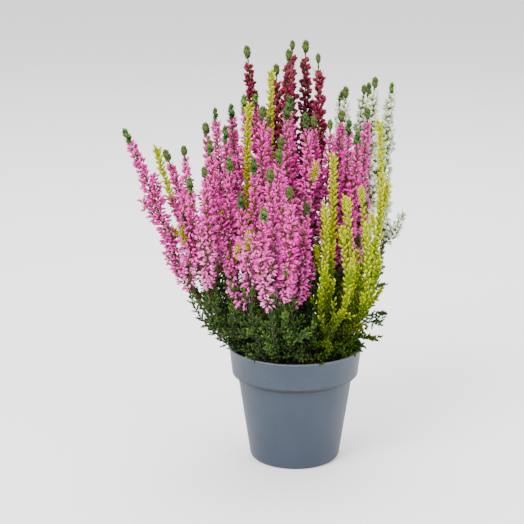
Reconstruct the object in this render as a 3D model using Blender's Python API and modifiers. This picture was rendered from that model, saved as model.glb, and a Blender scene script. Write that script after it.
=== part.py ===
"""Potted heather: a mixed planting of flowering and yellow-leaved heathers in a round plastic nursery pot.

Metres, +Z up. The origin is the middle of the pot's underside, where it stands on a table.
The side seen from -Y is the front. Each plant grows from a woody foot in the soil, and its
shoots splay outwards and then rise. A flowering shoot carries a spike of florets as a sleeve
round its upper stem, below a leafy tip.
"""

import math
import random
from dataclasses import dataclass

import bmesh
import bpy
from mathutils import Vector, noise

MM = 0.001

# Pot
POT_HEIGHT = 92 * MM
RIM_RADIUS = 52.5 * MM
RIM_EDGE = 1.5 * MM
RIM_OVERHANG = 0.7 * MM
BAND_HEIGHT = 22 * MM
BAND_FOOT_RADIUS = 49.4 * MM
BODY_TOP_RADIUS = 45.2 * MM
BASE_RADIUS = 35.5 * MM
BASE_CHAMFER = 2.5 * MM
WALL = 1.2 * MM
FLOOR_THICKNESS = 3.2 * MM
FOOT_RING_WIDTH = 6.5 * MM
FOOT_RING_HEIGHT = 1.8 * MM
BOSS_RADIUS = 8 * MM
DRAIN_HOLES = 6
DRAIN_RADIUS = 3.2 * MM
DRAIN_CIRCLE = 19 * MM
POT_SIDES = 32
DRAIN_SIDES = 8

# Soil
SOIL_BELOW_RIM = 10 * MM
SOIL_GAP = 0.35 * MM
SOIL_CROWN = 3 * MM
SOIL_LUMPS = 1.3 * MM
SOIL_LUMP_SIZE = 9 * MM
SOIL_SIDES = 20
SOIL_RINGS = (0.35, 0.7)
SOIL_TOP = POT_HEIGHT - SOIL_BELOW_RIM

# Woody feet, in plain holes in the soil
FOOT_RADIUS = 2.3 * MM
FOOT_DEPTH = 12 * MM
FOOT_RISE = 8 * MM
FOOT_TOP_RADIUS = 4.4 * MM
SHOOT_ROOT = 1.5 * MM
FOOT_SIDES = 6
HOLE_GAP = 0.5 * MM
FOOT_CIRCLE_SHARE = 0.42

# Dome that the shoot tips follow, as heights above the rim
DOME_TOP = 182 * MM
DOME_LIMIT = 186 * MM
DOME_FALL = 3.0
DOME_FRONT_SLOPE = 0.7
TIP_SCATTER = 11 * MM

# How a shoot bends: where its control point lies, as shares of the way from foot to tip
BEND_OUT = 1.30
BEND_UP = 0.28
STRAY_BEND_OUT = 0.60

# Shoots in a plant
RING_SCATTER = 0.1
TURN_SCATTER = math.radians(9)

# Stem and scale leaves
STEM_RADIUS = 0.8 * MM
STEM_SIDES = 4
BARE_STEM = 22 * MM
LEAF_REACH = 4.8 * MM
LEAF_ROOT = 1.15 * MM
LEAF_LIFT = 2.6 * MM
LEAF_STEP = 13.5 * MM
LEAVES_FULL_AT = 44 * MM
TIP_LENGTH = 9 * MM
TIP_REACH = 2.9 * MM

# Florets
SPIKE_SHARE = 0.50
SPIKE_SIDES = 6
FLORET_REACH = 7.3 * MM
FLORET_ROOT = 2.6 * MM
FLORET_STEP = 9.6 * MM
FLORET_DROOP = 0.6 * MM
SPIKE_BORE = 1.35 * MM
SPIKE_GAP = 0.4 * MM

# Yellow leafy shoots and low side shoots
YELLOW_REACH = 4.0 * MM
YELLOW_STEP = 10 * MM
LOW_REACH = 4.6 * MM
LOW_STEP = 9.6 * MM
LOW_SHOOTS = 30
LOW_RADIUS = 68 * MM
LOW_RISE = 32 * MM
LOW_BARE_STEM = 22 * MM

POT_GREY = (0.125, 0.135, 0.155, 1.0)
SOIL_BROWN = (0.012, 0.009, 0.007, 1.0)
HEATHER_GREEN = (0.045, 0.115, 0.03, 1.0)
LIME_YELLOW = (0.46, 0.52, 0.05, 1.0)
LILAC_PINK = (0.62, 0.10, 0.36, 1.0)
CRIMSON = (0.42, 0.012, 0.06, 1.0)
CREAM_WHITE = (0.72, 0.74, 0.66, 1.0)


@dataclass(frozen=True)
class Plant:
    """One rooted heather and the circle that its shoot tips fill, seen from above."""

    name: str
    crown: tuple
    spread: float
    turn: float
    shoots: int
    extra_height: float
    flower: str = ""
    seed: int = 0


PLANTS = (
    Plant("pink_front", (-20 * MM, -50 * MM), 20 * MM, 10, 7, 0, "pink", 11),
    Plant("pink_left", (-65 * MM, -14 * MM), 20 * MM, 11, 8, 0, "pink", 12),
    Plant("pink_middle", (-7 * MM, 4 * MM), 20 * MM, 75, 7, 0, "pink", 13),
    Plant("pink_back", (-50 * MM, 39 * MM), 20 * MM, 20, 6, 4 * MM, "pink", 14),
    Plant("crimson", (-2 * MM, 60 * MM), 21 * MM, 50, 6, 46 * MM, "crimson", 15),
    Plant("white", (54 * MM, 50 * MM), 20 * MM, 5, 6, 26 * MM, "white", 16),
    Plant("pink_right", (40 * MM, 8 * MM), 15.5 * MM, 20, 5, 0, "pink", 18),
    Plant("yellow", (38 * MM, -36 * MM), 19 * MM, 0, 8, -34 * MM, "", 17),
)

# Shoots that stray out of their plant's circle: tip across, tip back and tip above the rim,
# by plant and number of the shoot
STRAYS = {
    ("pink_left", 2): (-100 * MM, 12 * MM, 150 * MM),
    ("pink_left", 7): (-128 * MM, -20 * MM, 172 * MM),
    ("pink_front", 6): (8 * MM, -45 * MM, 122 * MM),
    ("crimson", 2): (-38 * MM, 74 * MM, 222 * MM),
}

# Single yellow-leaved sprigs between the plants: name, share of the way out at which the foot
# stands, tip across, tip back, tip above the rim
SPRIGS = (
    ("yellow_sprig_left", 0.42, -36 * MM, 12 * MM, 186 * MM),
    ("yellow_sprig_back", 0.42, -19 * MM, 34 * MM, 208 * MM),
    ("yellow_sprig_right", 0.42, 61 * MM, -19 * MM, 178 * MM),
    ("yellow_sprig_front", 0.42, 27 * MM, -12 * MM, 152 * MM),
    ("yellow_sprig_stray", 0.30, -108 * MM, 26.5 * MM, 150 * MM),
)


class Stem:
    """A stem's centreline: a curve in an upright plane, from a foot by way of a bend to a tip."""

    def __init__(self, foot, bend, tip):
        self.foot, self.bend, self.tip = Vector(foot), Vector(bend), Vector(tip)
        across = Vector((self.foot.y - self.tip.y, self.tip.x - self.foot.x, 0))
        self.side = across.normalized() if across.length > 0.1 * MM else Vector((1, 0, 0))
        self.straight_from = 1.0
        self.length = sum((self.at((k + 1) / 16) - self.at(k / 16)).length for k in range(16))

    def curve(self, t):
        """The point at share t of the bent curve."""
        return (1 - t) ** 2 * self.foot + 2 * t * (1 - t) * self.bend + t * t * self.tip

    def at(self, t):
        """The point at share t, where the upper end may run straight."""
        if t <= self.straight_from or self.straight_from == 1.0:
            return self.curve(t)
        share = (t - self.straight_from) / (1 - self.straight_from)
        return self.curve(self.straight_from).lerp(self.tip, share)

    def heading(self, t):
        """The unit direction of growth at share t."""
        if t >= self.straight_from and self.straight_from < 1.0:
            return (self.tip - self.curve(self.straight_from)).normalized()
        way = 2 * (1 - t) * (self.bend - self.foot) + 2 * t * (self.tip - self.bend)
        return way.normalized()

    def ring(self, t, sides, reach, root=None, odd=0, lift=0.0):
        """A ring of points round the stem. With a root, every second point stands in at that radius."""
        centre, way = self.at(t), self.heading(t)
        up = self.side.cross(way)
        points = []
        for i in range(sides):
            angle = math.tau * i / sides
            out = root is None or (i + odd) % 2 == 0
            radius = reach if out else root
            shift = lift * way if out and root is not None else Vector()
            spoke = math.cos(angle) * self.side + math.sin(angle) * up
            points.append(centre + radius * spoke + shift)
        return points


def plain_material(name, colour, roughness):
    """A Principled material of one colour."""
    material = bpy.data.materials.new(name)
    material.use_nodes = True
    shader = material.node_tree.nodes["Principled BSDF"]
    shader.inputs["Base Color"].default_value = colour
    shader.inputs["Roughness"].default_value = roughness
    material.diffuse_color = colour
    return material


def add_object(name, mesh, collection, material):
    """Links a mesh as a named object with its material."""
    thing = bpy.data.objects.new(name, mesh)
    collection.objects.link(thing)
    mesh.materials.append(material)
    return thing


def skin(name, rings, apex=None):
    """A closed mesh over rings of equal count. Each standing-out point gets a small pyramid of its own.

    It ends in the apex, or, without one, its last ring joins the first round a bore.
    """
    shape = bmesh.new()
    rows = [[shape.verts.new(point) for point in ring] for ring in rings]
    sides = len(rows[0])
    for j in range(len(rows) - 1 if apex else len(rows)):
        low, high = rows[j], rows[(j + 1) % len(rows)]
        for i in range(sides):
            k = (i + 1) % sides
            if (i + j) % 2 == 0:
                shape.faces.new((low[i], low[k], high[i]))
                shape.faces.new((low[k], high[k], high[i]))
            else:
                shape.faces.new((low[i], low[k], high[k]))
                shape.faces.new((low[i], high[k], high[i]))
    if apex:
        shape.faces.new(rows[0])
        point = shape.verts.new(apex)
        for i in range(sides):
            shape.faces.new((rows[-1][i], rows[-1][(i + 1) % sides], point))
    bmesh.ops.recalc_face_normals(shape, faces=shape.faces)
    mesh = bpy.data.meshes.new(name)
    shape.to_mesh(mesh)
    shape.free()
    return mesh


def turned(name, profile, sides):
    """A turned solid from (radius, height) points that run down its outer side."""
    mesh = bpy.data.meshes.new(name)
    points = [(radius, 0, height) for radius, height in profile]
    mesh.from_pydata(points, [(k, k + 1) for k in range(len(points) - 1)], [])
    thing = bpy.data.objects.new(name, mesh)
    screw = thing.modifiers.new("Turn", "SCREW")
    screw.steps = screw.render_steps = sides
    screw.use_merge_vertices = True
    screw.merge_threshold = 0.00001
    return thing


def freeze(thing):
    """Replaces an object's mesh by its evaluated one and drops its modifiers."""
    bpy.context.view_layer.update()
    graph = bpy.context.evaluated_depsgraph_get()
    mesh = bpy.data.meshes.new_from_object(thing.evaluated_get(graph))
    thing.modifiers.clear()
    thing.data = mesh


def combine(thing, helpers, operation, solver="EXACT"):
    """Joins or cuts an object with a collection of helpers by one Boolean, and removes them."""
    join = thing.modifiers.new("Combine", "BOOLEAN")
    join.operation = operation
    join.operand_type = "COLLECTION"
    join.collection = helpers
    join.solver = solver
    freeze(thing)
    for helper in list(helpers.objects):
        bpy.data.objects.remove(helper)
    bpy.data.collections.remove(helpers)


def keep_main_body(thing):
    """Keeps the largest connected piece of a mesh: it drops loose scraps and fills sealed hollows."""
    shape = bmesh.new()
    shape.from_mesh(thing.data)
    shape.verts.ensure_lookup_table()
    waiting = set(shape.verts)
    pieces = []
    while waiting:
        piece = set()
        front = [waiting.pop()]
        while front:
            vertex = front.pop()
            piece.add(vertex)
            near = [edge.other_vert(vertex) for edge in vertex.link_edges]
            fresh = [other for other in near if other in waiting]
            waiting.difference_update(fresh)
            front += fresh
        pieces.append(piece)
    main_body = max(pieces, key=len)
    spare = [vertex for piece in pieces if piece is not main_body for vertex in piece]
    bmesh.ops.delete(shape, geom=spare, context="VERTS")
    shape.to_mesh(thing.data)
    shape.free()


def helper_collection(name):
    """A collection for cutters or pieces to be joined."""
    helpers = bpy.data.collections.new(name)
    bpy.context.scene.collection.children.link(helpers)
    return helpers


def upright_cylinder(name, place, radius, height, sides, helpers, top_radius=None):
    """A cylinder or cone standing with its lower end at a place."""
    shape = bmesh.new()
    bmesh.ops.create_cone(
        shape,
        cap_ends=True,
        segments=sides,
        radius1=radius,
        radius2=radius if top_radius is None else top_radius,
        depth=height,
    )
    bmesh.ops.translate(shape, verts=shape.verts, vec=Vector(place) + Vector((0, 0, height / 2)))
    mesh = bpy.data.meshes.new(name)
    shape.to_mesh(mesh)
    shape.free()
    thing = bpy.data.objects.new(name, mesh)
    helpers.objects.link(thing)
    return thing


def inner_radius(height):
    """The pot's inner radius at a height above the floor."""
    ledge = POT_HEIGHT - BAND_HEIGHT + WALL
    if height < ledge:
        share = (height - FLOOR_THICKNESS) / (ledge - FLOOR_THICKNESS)
        return BASE_RADIUS - WALL + share * (BODY_TOP_RADIUS - BASE_RADIUS)
    share = (height - ledge) / (POT_HEIGHT - ledge)
    return BAND_FOOT_RADIUS - WALL + share * (RIM_RADIUS - RIM_OVERHANG - BAND_FOOT_RADIUS)


def make_pot(collection, material):
    """The pot: a tapered wall with a step up to a deep band, a rim edge, a foot ring and drain holes."""
    band_foot = POT_HEIGHT - BAND_HEIGHT
    ledge = band_foot + WALL
    ring_inner = BASE_RADIUS - BASE_CHAMFER - FOOT_RING_WIDTH
    profile = (
        (0, FLOOR_THICKNESS),
        (BASE_RADIUS - WALL, FLOOR_THICKNESS),
        (BODY_TOP_RADIUS - WALL, ledge),
        (BAND_FOOT_RADIUS - WALL, ledge),
        (RIM_RADIUS - RIM_OVERHANG - WALL, POT_HEIGHT),
        (RIM_RADIUS, POT_HEIGHT),
        (RIM_RADIUS, POT_HEIGHT - RIM_EDGE),
        (RIM_RADIUS - RIM_OVERHANG, POT_HEIGHT - 1.4 * RIM_EDGE),
        (BAND_FOOT_RADIUS, band_foot),
        (BODY_TOP_RADIUS, band_foot),
        (BASE_RADIUS, BASE_CHAMFER),
        (BASE_RADIUS - BASE_CHAMFER, 0),
        (ring_inner, 0),
        (ring_inner - FOOT_RING_HEIGHT, FOOT_RING_HEIGHT),
        (BOSS_RADIUS + FOOT_RING_HEIGHT, FOOT_RING_HEIGHT),
        (BOSS_RADIUS, 0),
        (0, 0),
    )
    pot = turned("pot", profile, POT_SIDES)
    collection.objects.link(pot)
    freeze(pot)
    cutters = helper_collection("drain_cutters")
    for k in range(DRAIN_HOLES):
        angle = math.tau * (k + 0.5) / DRAIN_HOLES
        place = (DRAIN_CIRCLE * math.cos(angle), DRAIN_CIRCLE * math.sin(angle), -FLOOR_THICKNESS)
        upright_cylinder("drain", place, DRAIN_RADIUS, 3 * FLOOR_THICKNESS, DRAIN_SIDES, cutters)
    combine(pot, cutters, "DIFFERENCE")
    pot.data.materials.clear()
    pot.data.materials.append(material)
    pot.data.shade_smooth()
    pot.data.set_sharp_from_angle(angle=math.radians(30))


def make_soil(collection, material, feet):
    """The soil: it fills the pot to below the rim, lumpy on top, with a plain hole for each foot."""
    bottom = FLOOR_THICKNESS + SOIL_GAP
    ledge = POT_HEIGHT - BAND_HEIGHT + WALL
    edge = inner_radius(SOIL_TOP) - SOIL_GAP
    surface = [(share * edge, SOIL_TOP + SOIL_CROWN * (1 - share**2)) for share in SOIL_RINGS]
    profile = (
        (0, SOIL_TOP + SOIL_CROWN),
        *surface,
        (edge, SOIL_TOP),
        (inner_radius(ledge) - SOIL_GAP, ledge + SOIL_GAP),
        (BODY_TOP_RADIUS - WALL - SOIL_GAP, ledge + SOIL_GAP),
        (BASE_RADIUS - WALL - SOIL_GAP, bottom),
        (0, bottom),
    )
    soil = turned("soil", profile, SOIL_SIDES)
    collection.objects.link(soil)
    freeze(soil)
    for vertex in soil.data.vertices:
        place = vertex.co
        if place.z > SOIL_TOP + 0.1 * MM:
            place.z += SOIL_LUMPS * noise.noise(place / SOIL_LUMP_SIZE)
    cutters = helper_collection("foot_cutters")
    hole = (FOOT_TOP_RADIUS + HOLE_GAP) / math.cos(math.pi / FOOT_SIDES)
    for x, y in feet:
        place = (x, y, SOIL_TOP - FOOT_DEPTH - HOLE_GAP)
        height = FOOT_DEPTH + FOOT_RISE + SOIL_CROWN
        upright_cylinder("foot_hole", place, hole, height, FOOT_SIDES, cutters)
    combine(soil, cutters, "DIFFERENCE")
    soil.data.materials.clear()
    soil.data.materials.append(material)


def dome_height(x, y):
    """How high above the rim a shoot tip stands at a place, seen from above."""
    height = DOME_TOP - DOME_FALL * (x * x + y * y) + DOME_FRONT_SLOPE * min(y, 0) + 0.1 * max(y, 0)
    return min(height, DOME_LIMIT)


def stem_to(foot, x, y, height, bend_out=BEND_OUT):
    """A stem from a foot in the soil to a tip at a height above the rim."""
    start = Vector((foot[0], foot[1], SOIL_TOP + SHOOT_ROOT))
    tip = Vector((x, y, POT_HEIGHT + height))
    bend = Vector(
        (
            start.x + bend_out * (tip.x - start.x),
            start.y + bend_out * (tip.y - start.y),
            start.z + BEND_UP * (tip.z - start.z),
        )
    )
    return Stem(start, bend, tip)


def foot_of(crown, share=FOOT_CIRCLE_SHARE):
    """Where a plant with this crown stands on the soil, as a share of the way out."""
    return crown[0] * share, crown[1] * share


def upright_stems(plant):
    """The plant's tall shoots: one in the middle and a ring of them round it, some of them strays."""
    dice = random.Random(plant.seed)
    stems = []
    for k in range(plant.shoots):
        ring = min(k, 1) * plant.spread * (1 + dice.uniform(-RING_SCATTER, RING_SCATTER))
        angle = math.radians(plant.turn) + math.tau * k / (plant.shoots - 1)
        angle += dice.uniform(-TURN_SCATTER, TURN_SCATTER)
        x = plant.crown[0] + ring * math.cos(angle)
        y = plant.crown[1] + ring * math.sin(angle)
        height = dome_height(x, y) + plant.extra_height + dice.uniform(-TIP_SCATTER, TIP_SCATTER)
        bend_out = BEND_OUT
        if (plant.name, k) in STRAYS:
            x, y, height = STRAYS[plant.name, k]
            bend_out = STRAY_BEND_OUT
        stems.append(stem_to(foot_of(plant.crown), x, y, height, bend_out))
    if plant.flower:
        for stem in stems:
            stem.straight_from = spike_span(stem)[0]
    return stems


def low_stems(plant):
    """Short leafy side shoots over the rim, each of them grown by the plant nearest to its direction."""
    outer = [other for other in PLANTS if math.hypot(*other.crown) > LOW_RADIUS / 3]
    start = Vector((*foot_of(plant.crown), SOIL_TOP + SHOOT_ROOT))
    dice = random.Random(LOW_SHOOTS)
    stems = []
    for k in range(LOW_SHOOTS):
        angle = math.tau * (k + dice.uniform(-0.2, 0.2)) / LOW_SHOOTS
        radius = LOW_RADIUS * (1 + dice.uniform(-0.05, 0.08))
        way = Vector((math.cos(angle), math.sin(angle)))
        owner = max(outer, key=lambda other: way.dot(Vector(other.crown).normalized()))
        if owner is not plant:
            continue
        rise = LOW_RISE * (0.55, 1.4, 0.9)[k % 3]
        tip = Vector((*(radius * way), POT_HEIGHT + rise))
        bend = start.lerp(tip, 0.55)
        bend.z = POT_HEIGHT + 0.5 * rise + 0.4 * LOW_RISE
        stems.append(Stem(start, bend, tip))
    return stems


def bare_rings(stem, bare):
    """The rings of the stem's woody lower end, up to a share just short of its first leaves."""
    return [
        stem.ring(0, STEM_SIDES, 1.5 * STEM_RADIUS),
        stem.ring(0.7 * bare, STEM_SIDES, 1.2 * STEM_RADIUS),
    ]


def leafy_rings(stem, start, stop, step, reach, root, lift, first_odd):
    """Rings of scale leaves in crossed pairs between two shares of a stem."""
    count = max(1, round((stop - start) * stem.length / step))
    rings = []
    for k in range(count + 1):
        share = k / count
        t = start + share * (stop - start)
        taper = min(1.0, 0.2 + 0.8 * t * stem.length / LEAVES_FULL_AT) * (1 - 0.3 * share**2)
        odd = (first_odd + k) % 2
        rings.append(stem.ring(t, STEM_SIDES, reach * taper, root, odd, lift))
    return rings


def spike_span(stem):
    """The shares of a stem where its florets begin and end."""
    ends = 1 - TIP_LENGTH / stem.length
    begins = ends - SPIKE_SHARE * (stem.tip.z - POT_HEIGHT) / stem.length
    return begins, ends


def flowering_stem_mesh(name, stem):
    """A leafy stem that runs on bare through its spike of florets and ends in a leafy tip."""
    begins, ends = spike_span(stem)
    bare = BARE_STEM / stem.length
    clear = LEAF_LIFT / stem.length
    gap = SPIKE_GAP / stem.length
    rings = bare_rings(stem, bare)
    last_leaf = begins - 1.4 * clear
    rings += leafy_rings(stem, bare, last_leaf, LEAF_STEP, LEAF_REACH, LEAF_ROOT, LEAF_LIFT, len(rings))
    rings.append(stem.ring(begins, STEM_SIDES, STEM_RADIUS))
    rings.append(stem.ring(ends, STEM_SIDES, STEM_RADIUS))
    tip_start = ends + 2 * gap
    rings += leafy_rings(
        stem, tip_start, 1, TIP_LENGTH, TIP_REACH, LEAF_ROOT, 0.8 * LEAF_LIFT, len(rings)
    )
    return skin(name, rings, stem.at(1 + 1.8 * clear))


def leafy_stem_mesh(name, stem, reach, step, bare_length):
    """A stem with scale leaves all the way to its tip."""
    bare = bare_length / stem.length
    rings = bare_rings(stem, bare)
    rings += leafy_rings(stem, bare, 1, step, reach, LEAF_ROOT, LEAF_LIFT, len(rings))
    return skin(name, rings, stem.at(1 + 1.8 * LEAF_LIFT / stem.length))


def spike_mesh(name, stem):
    """The florets of one spike: a sleeve round the stem, raised to a point for each floret."""
    begins, ends = spike_span(stem)
    count = max(4, round((ends - begins) * stem.length / FLORET_STEP))
    rings = []
    for k in range(1, count):
        share = k / count
        swell = 0.70 + 0.30 * math.sin(math.pi * min(1.0, 0.12 + share))
        droop = FLORET_DROOP * (share - 0.6)
        t = begins + share * (ends - begins)
        root = FLORET_ROOT * (0.8 + 0.2 * swell)
        rings.append(stem.ring(t, SPIKE_SIDES, FLORET_REACH * swell, root, (k - 1) % 2, 4 * droop))
    rings += [stem.ring(t, SPIKE_SIDES, SPIKE_BORE) for t in (ends, begins)]
    return skin(name, rings)


def make_greens(name, foot, meshes, collection, material):
    """The green of one plant: its woody foot with every stem and its leaves joined into one solid."""
    parts = helper_collection(name + "_stems")
    for k, mesh in enumerate(meshes):
        parts.objects.link(bpy.data.objects.new(f"{name}_stem_{k}", mesh))
    place = (foot[0], foot[1], SOIL_TOP - FOOT_DEPTH)
    base = upright_cylinder(
        name, place, FOOT_RADIUS, FOOT_DEPTH + FOOT_RISE, FOOT_SIDES, collection, FOOT_TOP_RADIUS
    )
    combine(base, parts, "UNION")
    keep_main_body(base)
    base.data.materials.clear()
    base.data.materials.append(material)


def make_flowering_plant(plant, collection, green, petals):
    """A flowering plant's greens, and each of its spikes of florets as a node of its own."""
    stems = upright_stems(plant)
    meshes = [flowering_stem_mesh(plant.name, stem) for stem in stems]
    meshes += [
        leafy_stem_mesh(plant.name, stem, LOW_REACH, LOW_STEP, LOW_BARE_STEM)
        for stem in low_stems(plant)
    ]
    make_greens(plant.name + "_stems", foot_of(plant.crown), meshes, collection, green)
    for k, stem in enumerate(stems):
        name = f"{plant.name}_spike_{k + 1}"
        add_object(name, spike_mesh(name, stem), collection, petals)


def make_leafy_plant(plant, collection, material):
    """A plant grown for its coloured leaves, with no flowers."""
    meshes = [
        leafy_stem_mesh(plant.name, stem, YELLOW_REACH, YELLOW_STEP, BARE_STEM)
        for stem in upright_stems(plant)
    ]
    meshes += [
        leafy_stem_mesh(plant.name, stem, LOW_REACH, LOW_STEP, LOW_BARE_STEM)
        for stem in low_stems(plant)
    ]
    make_greens(plant.name + "_stems", foot_of(plant.crown), meshes, collection, material)


def make_sprig(sprig, collection, material):
    """A single yellow-leaved stem on a foot of its own."""
    name, share, x, y, height = sprig
    foot = foot_of((x, y), share)
    bend_out = BEND_OUT if share == FOOT_CIRCLE_SHARE else STRAY_BEND_OUT
    stem = stem_to(foot, x, y, height, bend_out)
    mesh = leafy_stem_mesh(name, stem, 0.9 * YELLOW_REACH, YELLOW_STEP, BARE_STEM)
    make_greens(name, foot, [mesh], collection, material)


def main():
    """Clears the scene and builds the potted heather."""
    for thing in list(bpy.data.objects):
        bpy.data.objects.remove(thing)
    heather = bpy.data.collections.new("potted_heather")
    bpy.context.scene.collection.children.link(heather)
    grey = plain_material("pot_plastic", POT_GREY, 0.5)
    brown = plain_material("potting_soil", SOIL_BROWN, 0.95)
    green = plain_material("heather_leaf", HEATHER_GREEN, 0.6)
    yellow = plain_material("yellow_leaf", LIME_YELLOW, 0.6)
    petals = {
        "pink": plain_material("pink_floret", LILAC_PINK, 0.6),
        "crimson": plain_material("crimson_floret", CRIMSON, 0.6),
        "white": plain_material("white_floret", CREAM_WHITE, 0.6),
    }
    feet = [foot_of(plant.crown) for plant in PLANTS]
    feet += [foot_of((x, y), share) for _, share, x, y, _ in SPRIGS]
    make_pot(heather, grey)
    make_soil(heather, brown, feet)
    for plant in PLANTS:
        if plant.flower:
            make_flowering_plant(plant, heather, green, petals[plant.flower])
        else:
            make_leafy_plant(plant, heather, yellow)
    for sprig in SPRIGS:
        make_sprig(sprig, heather, yellow)


main()
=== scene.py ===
"""Dresses the potted heather: a grey nursery pot of dark soil with upright heathers in mixed colours.

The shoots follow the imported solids, which stand in the same places by the same rule. A solid spike
becomes a spike of separate florets, and a solid stem becomes a woody stem with leafy side shoots.
"""

import logging
import math
import random
from collections.abc import Callable, Sequence
from dataclasses import dataclass, field
from enum import Enum

import bmesh
import bpy
import numpy as np
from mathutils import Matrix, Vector, noise


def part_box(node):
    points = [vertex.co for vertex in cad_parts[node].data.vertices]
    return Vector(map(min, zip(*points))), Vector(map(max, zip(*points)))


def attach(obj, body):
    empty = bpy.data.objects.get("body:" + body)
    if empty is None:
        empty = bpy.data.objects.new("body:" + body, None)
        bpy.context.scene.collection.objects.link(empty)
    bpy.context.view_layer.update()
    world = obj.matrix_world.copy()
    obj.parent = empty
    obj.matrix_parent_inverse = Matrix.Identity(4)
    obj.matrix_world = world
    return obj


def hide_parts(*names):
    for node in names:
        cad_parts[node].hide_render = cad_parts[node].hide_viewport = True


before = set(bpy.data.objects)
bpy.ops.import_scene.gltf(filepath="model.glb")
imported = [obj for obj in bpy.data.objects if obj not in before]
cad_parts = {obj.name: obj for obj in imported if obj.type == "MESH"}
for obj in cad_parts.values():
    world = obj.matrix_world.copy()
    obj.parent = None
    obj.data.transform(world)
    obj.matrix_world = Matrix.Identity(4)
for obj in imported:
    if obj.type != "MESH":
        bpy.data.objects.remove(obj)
LOG = logging.getLogger("potted_heather")

MM = 0.001
GOLDEN_TURN = math.radians(137.508)
BODY = "root"
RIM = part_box("pot")[1][2]
BAND_HEIGHT = 22 * MM

Colour = tuple[float, float, float, float]


class Bloom(Enum):
    """What a plant's florets look like."""

    PINK = "pink"
    CRIMSON = "crimson"
    WHITE = "white"
    NONE = ""


class Leafage(Enum):
    """The colour of a plant's leaves."""

    GREEN = "heather_leaf"
    YELLOW = "yellow_leaf"


# Shader sums


class Sock:
    """A shader socket on which sums are written as plain Python."""

    def __init__(self, recipe: "Recipe", socket: bpy.types.NodeSocket) -> None:
        """Keeps the socket and the recipe that it belongs to."""
        self.recipe = recipe
        self.socket = socket

    def _sum(self, operation: str, first: "Value", second: "Value") -> "Sock":
        """Adds one Math node."""
        return self.recipe.node("ShaderNodeMath", {"operation": operation}, {0: first, 1: second})

    def __add__(self, other: "Value") -> "Sock":
        """This plus another value."""
        return self._sum("ADD", self, other)

    def __radd__(self, other: "Value") -> "Sock":
        """Another value plus this."""
        return self._sum("ADD", other, self)

    def __sub__(self, other: "Value") -> "Sock":
        """This minus another value."""
        return self._sum("SUBTRACT", self, other)

    def __rsub__(self, other: "Value") -> "Sock":
        """Another value minus this."""
        return self._sum("SUBTRACT", other, self)

    def __mul__(self, other: "Value") -> "Sock":
        """This times another value."""
        return self._sum("MULTIPLY", self, other)

    def __rmul__(self, other: "Value") -> "Sock":
        """Another value times this."""
        return self._sum("MULTIPLY", other, self)

    def mask(self, low: float, high: float) -> "Sock":
        """A smooth step from 0 at a low value to 1 at a high one."""
        settings = {"interpolation_type": "SMOOTHSTEP"}
        return self.recipe.node("ShaderNodeMapRange", settings, {0: self, 1: low, 2: high, 3: 0.0, 4: 1.0})


Value = Sock | float | Colour


class Recipe:
    """A material in the making: its node tree and its Principled shader."""

    def __init__(self, name: str) -> None:
        """Starts a material.

        Args:
            name: The material's name.
        """
        self.material = bpy.data.materials.new(name)
        self.material.use_nodes = True
        self.tree = self.material.node_tree
        self.shader = self.tree.nodes["Principled BSDF"]

    def feed(self, target: bpy.types.NodeSocket, value: Value) -> None:
        """Links a socket to another, or sets its plain value.

        Args:
            target: The socket to feed.
            value: What feeds it.
        """
        if isinstance(value, Sock):
            self.tree.links.new(value.socket, target)
        else:
            target.default_value = value

    def node(
        self, kind: str, settings: dict[str, object], inputs: dict[int | str, Value], output: int | str = 0
    ) -> Sock:
        """Adds any node.

        Args:
            kind: The node's type.
            settings: Its properties, set before its sockets.
            inputs: Values or links for its sockets, by number or name.
            output: Which of its outputs is wanted.

        Returns:
            That output.
        """
        made = self.tree.nodes.new(kind)
        for name, setting in settings.items():
            setattr(made, name, setting)
        for key, value in inputs.items():
            self.feed(made.inputs[key], value)
        return Sock(self, made.outputs[output])

    def mix(self, share: Value, first: Value, second: Value) -> Sock:
        """Mixes two colours, the first at share 0 and the second at share 1."""
        return self.node("ShaderNodeMix", {"data_type": "RGBA"}, {0: share, 6: first, 7: second}, 2)

    def place(self) -> Sock:
        """The object's own coordinates, in metres."""
        return self.node("ShaderNodeTexCoord", {}, {}, "Object")

    def height(self) -> Sock:
        """The height above the ground, in metres."""
        return self.node("ShaderNodeSeparateXYZ", {}, {0: self.place()}, "Z")

    def grain(
        self, size: float, detail: float = 2.0, stretch: tuple[float, float, float] = (1.0, 1.0, 1.0)
    ) -> Sock:
        """Noise on the object's coordinates.

        Args:
            size: The size of its blotches in metres.
            detail: How many finer layers it has.
            stretch: How much finer it runs along each axis.

        Returns:
            A value round 0.5.
        """
        scaled = self.node("ShaderNodeMapping", {}, {"Vector": self.place(), "Scale": stretch})
        inputs = {"Vector": scaled, "Scale": 1 / size, "Detail": detail}
        return self.node("ShaderNodeTexNoise", {}, inputs)

    def shade(self, channel: str) -> Sock:
        """One channel of the shade attribute: Red is chance, Green is along the shoot, Blue is tipward."""
        colour = self.node("ShaderNodeAttribute", {"attribute_name": "shade"}, {}, "Color")
        return self.node("ShaderNodeSeparateColor", {}, {0: colour}, channel)

    def bump(self, height: Sock, depth: float, strength: float) -> None:
        """Roughens the surface by a height, of which 1 stands for the depth in metres."""
        inputs = {"Height": height, "Distance": depth, "Strength": strength}
        self.feed(self.shader.inputs["Normal"], self.node("ShaderNodeBump", {}, inputs))

    def finish(
        self, colour: Value, roughness: Value, plain: dict[str, float] | None = None
    ) -> bpy.types.Material:
        """Feeds the shader and hands over the material.

        Args:
            colour: The base colour.
            roughness: The roughness.
            plain: Values of other sockets, by their names.

        Returns:
            The finished material.
        """
        self.feed(self.shader.inputs["Base Color"], colour)
        self.feed(self.shader.inputs["Roughness"], roughness)
        for name, value in (plain or {}).items():
            self.shader.inputs[name].default_value = value
        return self.material


# Finishes


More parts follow.
